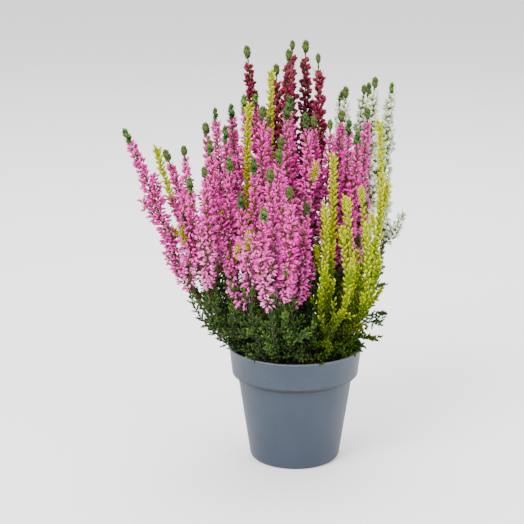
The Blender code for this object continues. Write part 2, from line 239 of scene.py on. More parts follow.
@dataclass(frozen=True)
class FloretFinish:
    """Dry papery sepals: deep near the throat, with a painted highlight at the tips, palest in the spike's
    oldest florets.
    """

    name: str
    faded: Colour
    # The colour of the painted highlight at the florets' tips.
    pale: Colour
    mid: Colour
    deep: Colour
    fade: float
    # How strong the painted highlight at the tips is.
    tip_highlight: float

    def material(self) -> bpy.types.Material:
        """Makes the material.

        Returns:
            The finished material.
        """
        recipe = Recipe(self.name)
        chance, along, tipward = (recipe.shade(channel) for channel in ("Red", "Green", "Blue"))
        streak, patch = recipe.grain(1.1 * MM, 1.0), recipe.grain(24 * MM, 1.0)
        colour = recipe.mix((chance * 0.9 + streak * 0.5).mask(0.3, 0.9), self.deep, self.mid)
        # Painted highlight: the tips lighten towards the pale colour, more on some florets than on others.
        colour = recipe.mix(tipward.mask(0.4, 1.0) * self.tip_highlight * (0.15 + chance), colour, self.pale)
        old = (1 - along + (patch - 0.5) * 0.9).mask(0.3, 1.1)
        colour = recipe.mix(old * self.fade * (chance + 0.1).mask(0.1, 0.9), colour, self.faded)
        colour = recipe.mix((1 - tipward).mask(0.5, 1.0) * 0.65, colour, self.deep)
        return recipe.finish(colour, 0.6, {"Specular IOR Level": 0.22})


@dataclass(frozen=True)
class LeafFinish:
    """Tiny scale leaves: dark and dull low down, fresher upwards and at the shoots' ends.

    The leaves turn from old to leaf colour between the heights low and high, and their ends turn young by a
    share from fresh_low to fresh_high, along a shoot from its share ripe_from on. Some whole shoots are
    brighter by bright_shoots. Above high, the leaves among the florets take the spike colour.
    """

    name: str
    old: Colour
    leaf: Colour
    young: Colour
    spike: Colour
    low: float
    high: float
    fresh_low: float
    fresh_high: float
    bright_shoots: float
    ripe_from: float
    sheen: float
    spike_fade: float = 40 * MM

    def material(self) -> bpy.types.Material:
        """Makes the material.

        Returns:
            The finished material.
        """
        recipe = Recipe(self.name)
        chance, along, tipward = (recipe.shade(channel) for channel in ("Red", "Green", "Blue"))
        height = recipe.height().mask(self.low, self.high)
        blotch = recipe.grain(7 * MM, 1.0)
        colour = recipe.mix((height + (blotch - 0.5) * 0.7).mask(0.0, 1.0), self.old, self.leaf)
        ripe = height * along.mask(self.ripe_from, self.ripe_from + 0.6)
        fresh = (self.fresh_low + ripe * (self.fresh_high - self.fresh_low)) * (0.35 + chance)
        fresh = fresh + chance.mask(0.58, 0.92) * self.bright_shoots
        colour = recipe.mix(tipward.mask(0.2, 1.0) * fresh, colour, self.young)
        colour = recipe.mix((1 - chance).mask(0.5, 1.0) * 0.45, colour, self.old)
        among_florets = recipe.height().mask(self.high, self.high + self.spike_fade)
        among_florets = among_florets * (1 - along).mask(0.0, 0.03)
        colour = recipe.mix(among_florets * (0.25 + blotch), colour, self.spike)
        return recipe.finish(colour, 0.6, {"Specular IOR Level": self.sheen})


@dataclass(frozen=True)
class WoodFinish:
    """Thin heather wood: dark brown at the foot, and an olive brown above."""

    name: str = "heather_wood"
    foot: Colour = (0.036, 0.024, 0.016, 1.0)
    twig: Colour = (0.105, 0.080, 0.022, 1.0)
    crack: Colour = (0.022, 0.015, 0.010, 1.0)

    def material(self) -> bpy.types.Material:
        """Makes the material.

        Returns:
            The finished material.
        """
        recipe = Recipe(self.name)
        height = recipe.height().mask(85 * MM, 150 * MM)
        bark = recipe.grain(1.2 * MM, 3.0, (1.0, 1.0, 0.25))
        colour = recipe.mix(height, self.foot, self.twig)
        colour = recipe.mix(bark.mask(0.35, 0.75) * 0.6, colour, self.crack)
        recipe.bump(bark, 0.4 * MM, 0.5)
        return recipe.finish(colour, 0.8)


@dataclass(frozen=True)
class PotFinish:
    """Satin blue-grey polypropylene, faint moulding streaks, scuffs, dusty specks; painted rim highlight,
    painted shade under the band.
    """

    name: str = "nursery_pot_plastic"
    body: Colour = (0.027, 0.039, 0.061, 1.0)
    # Colour of the darker clouds, and of the painted shade below the band.
    dark: Colour = (0.019, 0.029, 0.047, 1.0)
    # Colour of the dusty specks and scuffs, and of the painted highlight along the rim.
    dust_and_highlight: Colour = (0.095, 0.110, 0.133, 1.0)
    # Colour of the painted shadow line just under the band.
    band_shadow: Colour = (0.006, 0.007, 0.008, 1.0)
    ledge: float = RIM - BAND_HEIGHT

    def material(self) -> bpy.types.Material:
        """Makes the material.

        Returns:
            The finished material.
        """
        recipe = Recipe(self.name)
        cloud = recipe.grain(26 * MM, 3.0)
        streak = recipe.grain(5 * MM, 4.0, (1.0, 1.0, 0.12))
        speck = recipe.grain(0.9 * MM, 2.0)
        scuff = recipe.grain(2.4 * MM, 5.0, (1.0, 1.0, 7.0))
        colour = recipe.mix(cloud.mask(0.3, 0.7) * 0.5 + streak.mask(0.35, 0.7) * 0.15, self.body, self.dark)
        colour = recipe.mix(scuff.mask(0.62, 0.74) * 0.35, colour, self.dust_and_highlight)
        colour = recipe.mix(speck.mask(0.66, 0.78) * 0.30, colour, self.dust_and_highlight)
        height = recipe.height()
        # Painted highlight: a thin lighter band along the rim's top edge, broken up by the scuffs.
        rim_highlight = height.mask(RIM - 1.8 * MM, RIM - 0.4 * MM)
        colour = recipe.mix(rim_highlight * (0.25 + scuff * 0.5), colour, self.dust_and_highlight)
        # Painted shade: the body below the band's ledge darkens towards the dark colour.
        colour = recipe.mix((1 - height.mask(self.ledge - 4 * MM, self.ledge)) * 0.35, colour, self.dark)
        # Painted shadow: a thin dark line on the body just under the band's ledge, broken up by the streaks.
        above_shadow = height.mask(self.ledge, self.ledge + 0.9 * MM)
        groove_shadow = height.mask(self.ledge - 4.4 * MM, self.ledge - 2.9 * MM) * (1 - above_shadow)
        colour = recipe.mix(groove_shadow * (0.45 + streak * 0.6), colour, self.band_shadow)
        recipe.bump(speck * 0.6 + streak * 0.4, 0.12 * MM, 0.35)
        roughness = 0.40 + cloud * 0.14 + scuff * 0.08
        return recipe.finish(colour, roughness, {"Specular IOR Level": 0.38})


@dataclass(frozen=True)
class SoilFinish:
    """Moist dark peat with fibres and lighter bits of bark."""

    name: str = "peat_soil"
    peat: Colour = (0.006, 0.0048, 0.0040, 1.0)
    fibre: Colour = (0.026, 0.018, 0.012, 1.0)
    bark: Colour = (0.10, 0.066, 0.040, 1.0)

    def material(self) -> bpy.types.Material:
        """Makes the material.

        Returns:
            The finished material.
        """
        recipe = Recipe(self.name)
        chance = recipe.shade("Red")
        lump, crumb = recipe.grain(6 * MM, 4.0), recipe.grain(1.3 * MM, 3.0)
        colour = recipe.mix((lump * 0.5 + crumb * 0.5).mask(0.42, 0.68), self.peat, self.fibre)
        colour = recipe.mix(chance.mask(0.90, 0.97), colour, self.bark)
        recipe.bump(lump * 0.4 + crumb * 0.6, 1.2 * MM, 0.9)
        return recipe.finish(colour, 0.95, {"Specular IOR Level": 0.2})


@dataclass(frozen=True)
class FloorFinish:
    """A plain matt white table top, very faintly mottled."""

    name: str = "studio_floor"
    white: Colour = (0.94, 0.94, 0.94, 1.0)
    shade: Colour = (0.91, 0.91, 0.91, 1.0)

    def material(self) -> bpy.types.Material:
        """Makes the material.

        Returns:
            The finished material.
        """
        recipe = Recipe(self.name)
        mottle = recipe.grain(180 * MM, 2.0)
        return recipe.finish(recipe.mix(mottle, self.white, self.shade), 0.7)


# Patterns that are modelled once and copied


def deselect_all() -> None:
    """Leaves nothing selected and nothing active."""
    for thing in bpy.context.selected_objects:
        thing.select_set(False)
    bpy.context.view_layer.objects.active = None


def pick_corners(thing: bpy.types.Object, test: Callable[[Vector], bool]) -> None:
    """Selects, in edit mode, the corners whose place passes a test.

    Args:
        thing: The object being edited.
        test: Takes a corner's place and says whether it is wanted.
    """
    shape = bmesh.from_edit_mesh(thing.data)
    for part in (*shape.faces, *shape.edges):
        part.select = False
    for corner in shape.verts:
        corner.select = test(corner.co)
    shape.select_flush(True)
    bmesh.update_edit_mesh(thing.data)


def split_faces(mesh: bpy.types.Mesh) -> np.ndarray:
    """Splits a mesh's faces into triangles, each quad along its shorter diagonal, in an order that repeats.

    Args:
        mesh: The mesh, which stays as it is.

    Returns:
        The corners of each triangle.
    """
    triangles = []
    for face in mesh.polygons:
        first = min(range(len(face.vertices)), key=lambda k: face.vertices[k])
        ring = [*face.vertices[first:], *face.vertices[:first]]
        if len(ring) == 4:
            a, b, c, d = (mesh.vertices[k].co for k in ring)
            if (d - b).length < (c - a).length - 1e-5:
                ring = ring[1:] + ring[:1]
        triangles += [(ring[0], *pair) for pair in zip(ring[1:], ring[2:])]
    return np.array(sorted(triangles), np.int32)


@dataclass
class Pattern:
    """A small triangle mesh to be copied, one unit long, growing along +Z from the origin."""

    corners: np.ndarray
    faces: np.ndarray
    tipward: np.ndarray

    @classmethod
    def taken_from(cls, thing: bpy.types.Object) -> "Pattern":
        """Reads a modelled object into a pattern, and removes the object.

        Args:
            thing: The object, in object mode.

        Returns:
            The pattern.
        """
        mesh = thing.data
        corners = np.array([tuple(corner.co) for corner in mesh.vertices])
        faces = split_faces(mesh)
        bpy.data.objects.remove(thing)
        bpy.data.meshes.remove(mesh)
        return cls(corners, faces, np.clip(corners[:, 2], 0, 1))


@dataclass
class Swarm:
    """Many placed copies of one pattern."""

    pattern: Pattern
    turns: list[np.ndarray] = field(default_factory=list)
    places: list[Vector] = field(default_factory=list)
    shades: list[tuple[float, float]] = field(default_factory=list)

    def add(
        self,
        place: Vector,
        way: Vector,
        out: Vector,
        length: float,
        girth: float,
        chance: float,
        along: float,
    ) -> None:
        """Places one copy.

        Args:
            place: Where its root is.
            way: The unit direction in which it grows.
            out: Roughly the direction that its upper face looks in.
            length: Its length.
            girth: Its thickness, as a length that the pattern's unit width takes.
            chance: A random value from 0 to 1 that its colour follows.
            along: How far along the shoot it stands, from 0 to 1.
        """
        side = out.cross(way)
        side = side.normalized() if side.length > 1e-4 else way.orthogonal().normalized()
        over = way.cross(side)
        self.turns.append(np.array((side * girth, over * girth, way * length)).T)
        self.places.append(place)
        self.shades.append((chance, along))

    def arrays(self) -> tuple[np.ndarray, np.ndarray, np.ndarray]:
        """Works out the copies.

        Returns:
            Their corners, their faces, and the shade of each corner.
        """
        count, size = len(self.turns), len(self.pattern.corners)
        turns = np.array(self.turns).reshape(count, 3, 3)
        places = np.array([tuple(place) for place in self.places]).reshape(count, 1, 3)
        corners = np.einsum("kij,nj->kni", turns, self.pattern.corners) + places
        faces = self.pattern.faces[None] + size * np.arange(count)[:, None, None]
        shades = np.ones((count, size, 4))
        shades[:, :, :2] = np.array(self.shades).reshape(count, 1, 2)
        shades[:, :, 2] = self.pattern.tipward
        return corners.reshape(-1, 3), faces.reshape(-1, 3), shades.reshape(-1, 4)


def mesh_of(name: str, swarms: Sequence[tuple[Swarm, bpy.types.Material]]) -> bpy.types.Object:
    """Joins swarms into one smooth mesh object with a shade attribute.

    Args:
        name: The object's name.
        swarms: The swarms, each with its material.

    Returns:
        The object, linked to the scene.
    """
    materials = list(dict.fromkeys(material for _, material in swarms))
    filled = [(swarm.arrays(), materials.index(material)) for swarm, material in swarms if swarm.turns]
    starts = np.cumsum([0, *(len(corners) for (corners, _, _), _ in filled)])
    corners = np.concatenate([arrays[0] for arrays, _ in filled])
    faces = np.concatenate([arrays[1] + start for (arrays, _), start in zip(filled, starts)])
    shades = np.concatenate([arrays[2] for arrays, _ in filled])
    slots = np.concatenate([np.full(len(arrays[1]), slot, np.int32) for arrays, slot in filled])
    mesh = bpy.data.meshes.new(name)
    mesh.vertices.add(len(corners))
    mesh.vertices.foreach_set("co", corners.ravel())
    mesh.loops.add(faces.size)
    mesh.loops.foreach_set("vertex_index", faces.ravel().astype(np.int32))
    mesh.polygons.add(len(faces))
    mesh.polygons.foreach_set("loop_start", np.arange(0, faces.size, 3, dtype=np.int32))
    mesh.polygons.foreach_set("material_index", slots)
    mesh.polygons.foreach_set("use_smooth", np.ones(len(faces), bool))
    shade = mesh.color_attributes.new("shade", "FLOAT_COLOR", "POINT")
    shade.data.foreach_set("color", shades.ravel())
    mesh.update()
    mesh.validate()
    for material in materials:
        mesh.materials.append(material)
    thing = bpy.data.objects.new(name, mesh)
    bpy.context.scene.collection.objects.link(thing)
    return thing


class Patterns:
    """The small shapes of the plant and the soil, each one modelled from a primitive.

    Parking is how far up a finished ring of a ball is kept while the next one is shaped.
    """

    parking: float = 10.0

    def __init__(self) -> None:
        """Models every pattern."""
        self.floret = self.model_floret()
        self.bud = self.model_bud()
        self.leaf = self.model_leaf()
        self.scale = self.model_scale()
        self.sprig = self.gather_sprig(4, math.radians(44), 0.43, 0.58)
        self.plume = self.gather_sprig(4, math.radians(36), 0.39, 0.82)
        self.crumb = self.model_crumb()

    @classmethod
    def shaped_ball(cls, sides: int, rings: Sequence[tuple[float, float, float, float]]) -> bpy.types.Object:
        """Shapes a ball ring by ring, and parks each finished ring out of the way until all are done.

        Args:
            sides: How many meridians the ball has, an even number where even and odd corners differ.
            rings: For each ring, the height and radius of its even corners and of its odd ones.

        Returns:
            The object, in object mode.
        """
        deselect_all()
        bpy.ops.mesh.primitive_uv_sphere_add(segments=sides, ring_count=len(rings) + 1, radius=0.5)
        ball = bpy.context.object
        levels = sorted({round(corner.co.z, 4) for corner in ball.data.vertices})[1:-1]
        bpy.ops.object.mode_set(mode="EDIT")
        for level, ring in zip(levels, rings):
            now = math.sqrt(0.25 - level * level)
            for parity in (0, 1):
                height, radius = ring[2 * parity : 2 * parity + 2]

                def wanted(place: Vector, level: float = level, parity: int = parity) -> bool:
                    """Whether a corner is on this ring and of this parity."""
                    step = round(math.atan2(place.y, place.x) * sides / math.tau)
                    return abs(place.z - level) < 1e-3 and step % 2 == parity

                pick_corners(ball, wanted)
                bpy.ops.transform.resize(value=(radius / now, radius / now, 1), center_override=(0, 0, 0))
                bpy.ops.transform.translate(value=(0, 0, height - level + cls.parking))
        bpy.ops.object.mode_set(mode="OBJECT")
        for corner in ball.data.vertices:
            corner.co.z -= cls.parking if corner.co.z > cls.parking / 2 else 0
        return ball

    @classmethod
    def model_floret(cls) -> Pattern:
        """Models a half-open floret: a narrow throat, and four pointed sepals round a sunken middle.

        Returns:
            The floret's pattern.
        """
        throat, cup = (0.10, 0.13, 0.10, 0.13), (0.42, 0.30, 0.40, 0.25)
        sepals, points = (0.74, 0.31, 0.62, 0.20), (1.0, 0.27, 0.66, 0.13)
        return cls.with_poles(cls.shaped_ball(8, (throat, cup, sepals, points)), 0.0, 0.56)

    @classmethod
    def model_bud(cls) -> Pattern:
        """A closed bud: a plump oval that comes to a point."""
        rings = ((0.26, 0.26, 0.26, 0.26), (0.66, 0.27, 0.66, 0.27))
        return cls.with_poles(cls.shaped_ball(4, rings), 0.0, 1.0)

    @classmethod
    def model_scale(cls) -> Pattern:
        """A blunt scale of a knob: narrow at its foot and widest past its middle."""
        return cls.with_poles(cls.shaped_ball(3, ((0.58, 0.27, 0.64, 0.27),)), 0.0, 1.0)

    @staticmethod
    def with_poles(ball: bpy.types.Object, low: float, high: float) -> Pattern:
        """Sets the heights of a ball's two poles and reads it into a pattern.

        Args:
            ball: The shaped ball, in object mode.
            low: The height of its lower pole.
            high: The height of its upper pole.

        Returns:
            The pattern.
        """
        poles = sorted(
            (corner for corner in ball.data.vertices if math.hypot(corner.co.x, corner.co.y) < 1e-4),
            key=lambda corner: corner.co.z,
        )
        poles[0].co.z, poles[-1].co.z = low, high
        return Pattern.taken_from(ball)

    @staticmethod
    def model_leaf() -> Pattern:
        """Models a scale leaf: a slim three-sided point, flattened and hollowed a little towards its stem.

        Returns:
            The leaf's pattern.
        """
        deselect_all()
        bpy.ops.mesh.primitive_cone_add(vertices=3, radius1=0.2, radius2=0, depth=1, location=(0, 0, 0.5))
        leaf = bpy.context.object
        bpy.ops.object.transform_apply(location=True)
        bpy.ops.object.mode_set(mode="EDIT")
        bpy.ops.mesh.select_all(action="SELECT")
        bpy.ops.transform.resize(value=(1.0, 0.7, 1.0), center_override=(0, 0, 0))
        pick_corners(leaf, lambda place: place.z > 0.9)
        bpy.ops.transform.translate(value=(0, -0.05, 0))
        pick_corners(leaf, lambda place: place.z < 0.1 and place.y > 0.1)
        bpy.ops.transform.translate(value=(0, 0.02, 0.12))
        bpy.ops.object.mode_set(mode="OBJECT")
        return Pattern.taken_from(leaf)

    @staticmethod
    def model_crumb() -> Pattern:
        """Models a crumb of soil: a small ball pushed out of round.

        Returns:
            The crumb's pattern.
        """
        deselect_all()
        bpy.ops.mesh.primitive_ico_sphere_add(subdivisions=1, radius=0.5)
        crumb = bpy.context.object
        bpy.ops.object.mode_set(mode="EDIT")
        pick_corners(crumb, lambda place: place.x > 0.1)
        bpy.ops.transform.resize(value=(1.25, 0.7, 0.8), center_override=(0, 0, 0))
        pick_corners(crumb, lambda place: place.y + place.z > 0.3)
        bpy.ops.transform.translate(value=(0.05, -0.12, -0.08))
        bpy.ops.object.mode_set(mode="OBJECT")
        return Pattern.taken_from(crumb)

    def gather_sprig(self, pairs: int, spread: float, leaf_length: float, leaf_girth: float) -> Pattern:
        """Gathers leaves in crossed pairs on a short stalk.

        Args:
            pairs: How many pairs of leaves there are.
            spread: How far the lowest leaves lean from the stalk.
            leaf_length: A leaf's share of the sprig's length.
            leaf_girth: A leaf's girth, as a share of the sprig's own.

        Returns:
            The sprig as a pattern of its own.
        """
        up = Vector((0, 0, 1))
        leaves = Swarm(self.leaf)
        leaves.add(Vector((0, 0, 0)), up, Vector((0, 1, 0)), 0.95, 0.34, 0.0, 0.0)
        for level in range(pairs):
            share = level / (pairs - 1)
            lean = spread * (1 - 0.45 * share)
            for half in range(2):
                turn = math.pi * half + math.pi / 2 * (level % 2) + 0.35 * level
                out = Vector((math.cos(turn), math.sin(turn), 0))
                way = (out * math.sin(lean) + up * math.cos(lean)).normalized()
                place = up * (0.06 + (0.92 - leaf_length) * share)
                leaves.add(place, way, out, leaf_length * (1 - 0.2 * share), leaf_girth, 0.0, 0.0)
        leaves.add(up * 0.66, up, Vector((0, 1, 0)), 0.34, 0.9 * leaf_girth, 0.0, 0.0)
        corners, faces, _ = leaves.arrays()
        return Pattern(corners, faces, np.clip(corners[:, 2], 0, 1))


# The planting


@dataclass
class Stem:
    """A stem's centreline: a curve in an upright plane, straight where a spike stands, with a slight sway.

    The neck is how far short of their usual end its florets stop.
    """

    foot: Vector
    bend: Vector
    tip: Vector
    straight_from: float = 1.0
    sway: float = 0.0
    phase: float = 0.0
    neck: float = 0.0

    def __post_init__(self) -> None:
        """Works out the direction across the stem's plane, and the curve's length in short steps."""
        steps = 16
        across = Vector((self.foot.y - self.tip.y, self.tip.x - self.foot.x, 0))
        self.side = across.normalized() if across.length > 0.1 * MM else Vector((1, 0, 0))
        self.length = sum((self.curve((k + 1) / steps) - self.curve(k / steps)).length for k in range(steps))

    def curve(self, t: float) -> Vector:
        """The point at share t of the bent curve."""
        return (1 - t) ** 2 * self.foot + 2 * t * (1 - t) * self.bend + t * t * self.tip

    def at(self, t: float) -> Vector:
        """The point at a share, a little to the side of the smooth line where the stem sways.

        Args:
            t: The share of the stem, from 0 at its foot to 1 at its tip.

        Returns:
            The point.
        """
        point = self.curve(min(t, self.straight_from))
        if t > self.straight_from:
            point = point.lerp(self.tip, (t - self.straight_from) / (1 - self.straight_from))
        swing = 4 * t * (1 - t) * self.sway
        across = math.sin(math.tau * (1.2 * t + self.phase)) * self.side
        along = math.sin(math.tau * (0.9 * t + 2.7 * self.phase)) * self.side.cross(Vector((0, 0, 1)))
        return point + swing * (across + along)

    def heading(self, t: float) -> Vector:
        """The unit direction of growth at a share.

        Args:
            t: The share of the stem.

        Returns:
            The direction.
        """
        if t >= self.straight_from and self.straight_from < 1.0:
            return (self.tip - self.curve(self.straight_from)).normalized()
        way = 2 * (1 - t) * (self.bend - self.foot) + 2 * t * (self.tip - self.bend)
        return way.normalized()

    def spoke(self, t: float, turn: float) -> Vector:
        """The unit direction away from the stem at share t, at a turn round it."""
        return math.cos(turn) * self.side + math.sin(turn) * self.side.cross(self.heading(t))


@dataclass(frozen=True)
class Planting:
    """The rule by which the shoots stand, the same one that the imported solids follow.

    The shoots' tips lie near a dome over the rim, which falls away from the middle and slopes to the front.
    The low rises are the low shoots' heights in turn, as shares of the low rise.
    """

    pot_height: float = RIM
    soil_below_rim: float = 10 * MM
    shoot_root: float = 1.5 * MM
    foot_share: float = 0.42
    dome_top: float = 182 * MM
    dome_limit: float = 186 * MM
    dome_fall: float = 3.0
    front_slope: float = 0.7
    tip_scatter: float = 11 * MM
    bend_out: float = 1.30
    bend_up: float = 0.28
    stray_bend_out: float = 0.60
    tip_length: float = 9 * MM
    spike_share: float = 0.50
    low_shoots: int = 30
    low_radius: float = 68 * MM
    low_rise: float = 32 * MM
    low_rises: tuple[float, ...] = (0.55, 1.4, 0.9)
    sway: float = 3.2 * MM

    @property
    def soil_top(self) -> float:
        """The soil's height at the pot's wall."""
        return self.pot_height - self.soil_below_rim

    def dome(self, x: float, y: float) -> float:
        """How high above the rim a shoot's tip stands.

        Args:
            x: Its place across.
            y: Its place towards the back.

        Returns:
            The height.
        """
        height = self.dome_top - self.dome_fall * (x * x + y * y)
        height += self.front_slope * min(y, 0) + 0.1 * max(y, 0)
        return min(height, self.dome_limit)

    def stem_to(self, foot: tuple[float, float], x: float, y: float, height: float, bend_out: float) -> Stem:
        """A stem from a foot to a tip.

        Args:
            foot: Where the plant stands on the soil.
            x: Where the tip is, across.
            y: Where the tip is, towards the back.
            height: How high the tip is above the rim.
            bend_out: How far out the bend lies, as a share of the way to the tip.

        Returns:
            The stem.
        """
        start = Vector((foot[0], foot[1], self.soil_top + self.shoot_root))
        tip = Vector((x, y, self.pot_height + height))
        way = tip - start
        bend = start + Vector((bend_out * way.x, bend_out * way.y, self.bend_up * way.z))
        return Stem(start, bend, tip)

    def foot_of(self, crown: tuple[float, float]) -> tuple[float, float]:
        """Where a plant with this crown stands on the soil."""
        return crown[0] * self.foot_share, crown[1] * self.foot_share

    def spike_span(self, stem: Stem) -> tuple[float, float]:
        """The shares of a stem where its florets begin and end.

        Args:
            stem: The stem.

        Returns:
            The two shares.
        """
        ends = 1 - self.tip_length / stem.length
        begins = ends - self.spike_share * (stem.tip.z - self.pot_height) / stem.length
        return begins, ends


RULE = Planting()


@dataclass(frozen=True)
class TipStyle:
    """How a flowering stem ends: the stretch that its leaves grow on, and how many in three are blunt.

    Along is 1 for green leaves, and a little less for leaves with some of the brown that the leaves among
    the florets have. Freshness is how bright the brightest such tip is.
    """

    height: float
    blunt_in_three: int
    along: float
    freshness: float


KNOB = TipStyle(5.0 * MM, 2, 0.991, 0.18)
LEAFY_TIP = TipStyle(7.8 * MM, 1, 1.0, 0.65)


@dataclass(frozen=True)
class Habit:
    """How a plant's leaves grow: sprigs, each a few pairs of leaves on a stalk, clothe the branches.

    A low step is the sprigs' distance on the lowest branches. Slimming says how much smaller and steeper
    the sprigs get towards a branch's end, and freshness how bright its dullest branches are. Leafy tips is
    the share of the flowering stems that end in one, while the others end in a knob. The longest neck is
    the most by which a spike's florets stop short of their usual end.
    """

    sprig_length: float = 7.6 * MM
    sprig_girth: float = 6.2 * MM
    sprig_step: float = 1.9 * MM
    low_step: float = 1.9 * MM
    sprig_lean: float = math.radians(42)
    slimming: float = 1.0
    freshness: float = 0.0
    twigs_per_stem: int = 7
    longest_neck: float = 0.4 * MM
    leafy_tips: float = 0.7

    def neck(self, k: int) -> float:
        """The neck of a plant's stem number k, from 0.4 of the longest up to the longest."""
        return self.longest_neck * (0.4 + 0.6 * math.sin(2.1 * k) ** 2)


GREEN = Habit()
KNOBBED = Habit(longest_neck=3.4 * MM, leafy_tips=0.0)
TWIGGY = Habit(twigs_per_stem=10)
LIME = Habit(
    sprig_length=4.7 * MM,
    sprig_step=1.1 * MM,
    low_step=1.6 * MM,
    slimming=0.2,
    freshness=0.25,
    twigs_per_stem=3,
)
LONE = Habit(
    sprig_length=6.0 * MM,
    sprig_girth=7.4 * MM,
    sprig_step=0.85 * MM,
    sprig_lean=math.radians(44),
    slimming=0.1,
    freshness=0.55,
    twigs_per_stem=0,
)


@dataclass(frozen=True)
class Branching:
    """How a kind of branch is clothed: the share where its sprigs start, and its wood's radius at the foot.

    Fullness is the size of its sprigs, 1 for full. On a low branch they stand a low step apart.
    """

    sprigs_from: float
    radius: float
    fullness: float = 1.0
    is_low: bool = False


FLOWERING_STEM = Branching(0.06, 1.25 * MM)
YELLOW_STEM = Branching(0.06, 0.95 * MM)
SHORT_STEM = Branching(0.30, 0.8 * MM)
SIDE_SHOOT = Branching(0.10, 0.6 * MM, 0.85)
LOW_SHOOT = Branching(0.20, 0.6 * MM, 0.9, True)
TWIG = Branching(0.12, 0.5 * MM, 0.85, True)


@dataclass(frozen=True)
class Bed:
    """Where one plant stands and how its shoots spread."""

    name: str
    crown: tuple[float, float]
    spread: float
    turn: float
    shoots: int
    extra_height: float
    bloom: Bloom
    seed: int
    habit: Habit = GREEN

    @property
    def foot(self) -> tuple[float, float]:
        """Where the plant stands on the soil."""
        return RULE.foot_of(self.crown)

    @property
    def leafage(self) -> Leafage:
        """The colour of its leaves, yellow where it bears no florets."""
        return Leafage.YELLOW if self.bloom is Bloom.NONE else Leafage.GREEN


@dataclass(frozen=True)
class LoneSprig:
    """One yellow shoot that stands by itself between the plants."""

    name: str
    x: float
    y: float
    height: float
    seed: int
    foot_share: float = RULE.foot_share
    bend_out: float = RULE.bend_out

    @property
    def foot(self) -> tuple[float, float]:
        """Where the shoot stands on the soil."""
        return self.x * self.foot_share, self.y * self.foot_share


BEDS = (
    Bed("pink_front", (-20 * MM, -50 * MM), 20 * MM, 10, 7, 0, Bloom.PINK, 11),
    Bed("pink_left", (-65 * MM, -14 * MM), 20 * MM, 11, 8, 0, Bloom.PINK, 12),
    Bed("pink_middle", (-7 * MM, 4 * MM), 20 * MM, 75, 7, 0, Bloom.PINK, 13, TWIGGY),
    Bed("pink_back", (-50 * MM, 39 * MM), 20 * MM, 20, 6, 4 * MM, Bloom.PINK, 14),
    Bed("crimson", (-2 * MM, 60 * MM), 21 * MM, 50, 6, 46 * MM, Bloom.CRIMSON, 15, KNOBBED),
    Bed("white", (54 * MM, 50 * MM), 20 * MM, 5, 6, 26 * MM, Bloom.WHITE, 16),
    Bed("pink_right", (40 * MM, 8 * MM), 15.5 * MM, 20, 5, 0, Bloom.PINK, 18, TWIGGY),
    Bed("yellow", (38 * MM, -36 * MM), 19 * MM, 0, 8, -34 * MM, Bloom.NONE, 17, LIME),
)

STRAYS = {
    ("pink_left", 2): (-100 * MM, 12 * MM, 150 * MM),
    ("pink_left", 7): (-128 * MM, -20 * MM, 172 * MM),
    ("pink_front", 6): (8 * MM, -45 * MM, 122 * MM),
    ("crimson", 2): (-38 * MM, 74 * MM, 222 * MM),
}

GAP_SHOOTS = {
    "pink_front": ((16 * MM, -27 * MM, 52 * MM), (13 * MM, -34 * MM, 34 * MM)),
    "pink_middle": (
        (15 * MM, -6 * MM, 78 * MM),
        (13 * MM, 14 * MM, 92 * MM),
        (9 * MM, -16 * MM, 62 * MM),
        (12 * MM, -2 * MM, 54 * MM),
    ),
    "pink_right": ((17 * MM, -1 * MM, 82 * MM), (18 * MM, 13 * MM, 94 * MM), (24 * MM, 5 * MM, 80 * MM)),
}

SPRIGS = (
    LoneSprig("yellow_sprig_left", -36 * MM, 12 * MM, 186 * MM, 50),
    LoneSprig("yellow_sprig_back", -19 * MM, 34 * MM, 208 * MM, 51),
    LoneSprig("yellow_sprig_right", 61 * MM, -19 * MM, 178 * MM, 52),
    LoneSprig("yellow_sprig_front", 27 * MM, -12 * MM, 152 * MM, 53),
    LoneSprig("yellow_sprig_stray", -108 * MM, 26.5 * MM, 150 * MM, 54, 0.30, RULE.stray_bend_out),
)


def upright_stems(bed: Bed) -> list[Stem]:
    """The plant's tall stems: one in the middle and a ring of them round it, some of them strays.

    Args:
        bed: Where the plant stands.

    Returns:
        The stems, in the order of their solids.
    """
    dice = random.Random(bed.seed)
    stems = []
    for k in range(bed.shoots):
        ring = min(k, 1) * bed.spread * (1 + dice.uniform(-0.1, 0.1))
        angle = math.radians(bed.turn) + math.tau * k / (bed.shoots - 1)
        angle += dice.uniform(-math.radians(9), math.radians(9))
        x = bed.crown[0] + ring * math.cos(angle)
        y = bed.crown[1] + ring * math.sin(angle)
        height = RULE.dome(x, y) + bed.extra_height + dice.uniform(-RULE.tip_scatter, RULE.tip_scatter)
        bend_out = RULE.bend_out
        if (bed.name, k) in STRAYS:
            x, y, height = STRAYS[bed.name, k]
            bend_out = RULE.stray_bend_out
        stem = RULE.stem_to(bed.foot, x, y, height, bend_out)
        if bed.bloom is not Bloom.NONE:
            stem.straight_from = RULE.spike_span(stem)[0]
        stem.sway, stem.phase = RULE.sway, 0.37 * k + 0.21 * bed.seed
        stem.neck = bed.habit.neck(k)
        stems.append(stem)
    return stems


SIDE_SHOOT_LENGTHS = (22 * MM, 38 * MM)


def side_shoots(stem: Stem, seed: int, count: int, low: float, high: float) -> list[Stem]:
    """Short shoots that branch off a tall stem and rise beside it, the higher ones shorter.

    Args:
        stem: The tall stem.
        seed: What their places follow, the same for the same seed.
        count: How many there are.
        low: The share of the stem where the lowest starts.
        high: The share where the highest starts.

    Returns:
        The shoots.
    """
    dice = random.Random(seed)
    turn = dice.uniform(0, math.tau)
    shoots = []
    for k in range(count):
        t = low + (high - low) * (k + dice.random()) / count
        turn += GOLDEN_TURN
        out, way = stem.spoke(t, turn), stem.heading(t)
        length = dice.uniform(*SIDE_SHOOT_LENGTHS) * (1.1 - 0.5 * t)
        start = stem.at(t)
        bend = start + (0.5 * out + 0.55 * way) * 0.5 * length
        shoots.append(Stem(start, bend, bend + (0.1 * out + way) * 0.6 * length))
    return shoots


